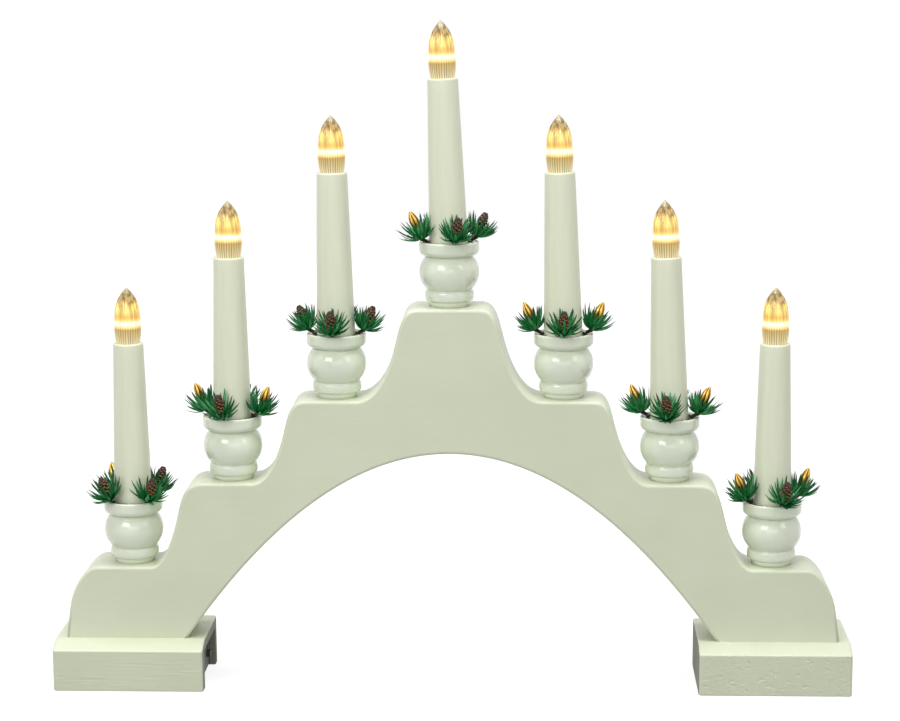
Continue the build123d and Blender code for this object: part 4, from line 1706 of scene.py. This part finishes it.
shine = add(
    paper, "ShaderNodeMath", {0: seen_directly(paper), 1: paper_shine}, operation="MULTIPLY"
)
fill(paper_surface, {"Emission Strength": shine.outputs[0]})
bm = bmesh.new()
ends = (-floor_reach, floor_reach)
skin(bm, [[(x, y, 0) for x in ends] for y in ends], closed=False, capped=False)
floor = stand("paper_floor", finished("paper_floor", bm), paper)

# The tent reads as plain white where it is seen, and lights the arch only softly.
tent = bpy.data.worlds.new("white_tent")
bpy.context.scene.world = tent
tent.use_nodes = True
tent.node_tree.nodes.clear()
white = add(tent, "ShaderNodeBackground", {"Color": (1.0, 1.0, 1.0, 1.0), "Strength": 1.0})
cloth = add(tent, "ShaderNodeBackground", {"Color": (1.0, 1.0, 0.98, 1.0), "Strength": 0.48})
sky = add(
    tent,
    "ShaderNodeMixShader",
    {"Fac": seen_directly(tent), 1: cloth.outputs[0], 2: white.outputs[0]},
)
add(tent, "ShaderNodeOutputWorld", {"Surface": sky.outputs[0]})

arch_middle = Vector((0, 0, 0.16))


def soft_box(name, place, size, watts, hex_colour):
    """Rectangular soft light at a place in metres, turned towards the arch's middle."""
    lamp = bpy.data.lights.new(name, "AREA")
    lamp.shape = "RECTANGLE"
    lamp.size, lamp.size_y = size
    lamp.energy = watts
    lamp.color = linear(hex_colour)[:3]
    holder = bpy.data.objects.new(name, lamp)
    bpy.context.scene.collection.objects.link(holder)
    holder.location = place
    holder.rotation_mode = "QUATERNION"
    holder.rotation_quaternion = (arch_middle - Vector(place)).to_track_quat("-Z", "Y")


soft_box("left_soft_box", (-0.75, -1.2, 0.95), size=(0.75, 0.5), watts=6.8, hex_colour="#FFFFFB")
soft_box("right_soft_box", (1.1, -0.8, 0.95), size=(0.4, 0.6), watts=1.7, hex_colour="#FFFFFB")
soft_box("front_soft_box", (0.1, -1.7, 0.6), size=(1.4, 0.6), watts=3.4, hex_colour="#FFFFFB")
soft_box("overhead_light", (0.0, -0.15, 1.5), size=(1.1, 0.6), watts=17.0, hex_colour="#FFFFFF")


# Camera
# Slightly right of the arch's middle and above it, looking down by about ten degrees. Its place and
# turn were fitted to the edges in the photograph, and its focal length is in that picture's pixels.

camera_place = Vector((46.81, -1096.87, 369.19)) * MM
camera_turn = 0.0426
camera_dip = -0.1838
camera_roll = -0.0064
focal_length_pixels = 2242.7
photo_width_pixels = 900

lens = bpy.data.cameras.new("camera")
lens.sensor_width = 36.0
lens.lens = focal_length_pixels / photo_width_pixels * lens.sensor_width
camera = bpy.data.objects.new("camera", lens)
bpy.context.scene.collection.objects.link(camera)
forward = Vector(
    (-sin(camera_turn) * cos(camera_dip), cos(camera_turn) * cos(camera_dip), sin(camera_dip))
)
level = Vector((cos(camera_turn), sin(camera_turn), 0))
across = level * cos(camera_roll) + level.cross(forward) * sin(camera_roll)
upward = across.cross(forward)
look = Matrix((across, upward, -forward)).transposed().to_4x4()
look.translation = camera_place
camera.matrix_world = look
bpy.context.scene.camera = camera
bpy.context.scene.view_settings.view_transform = "Standard"
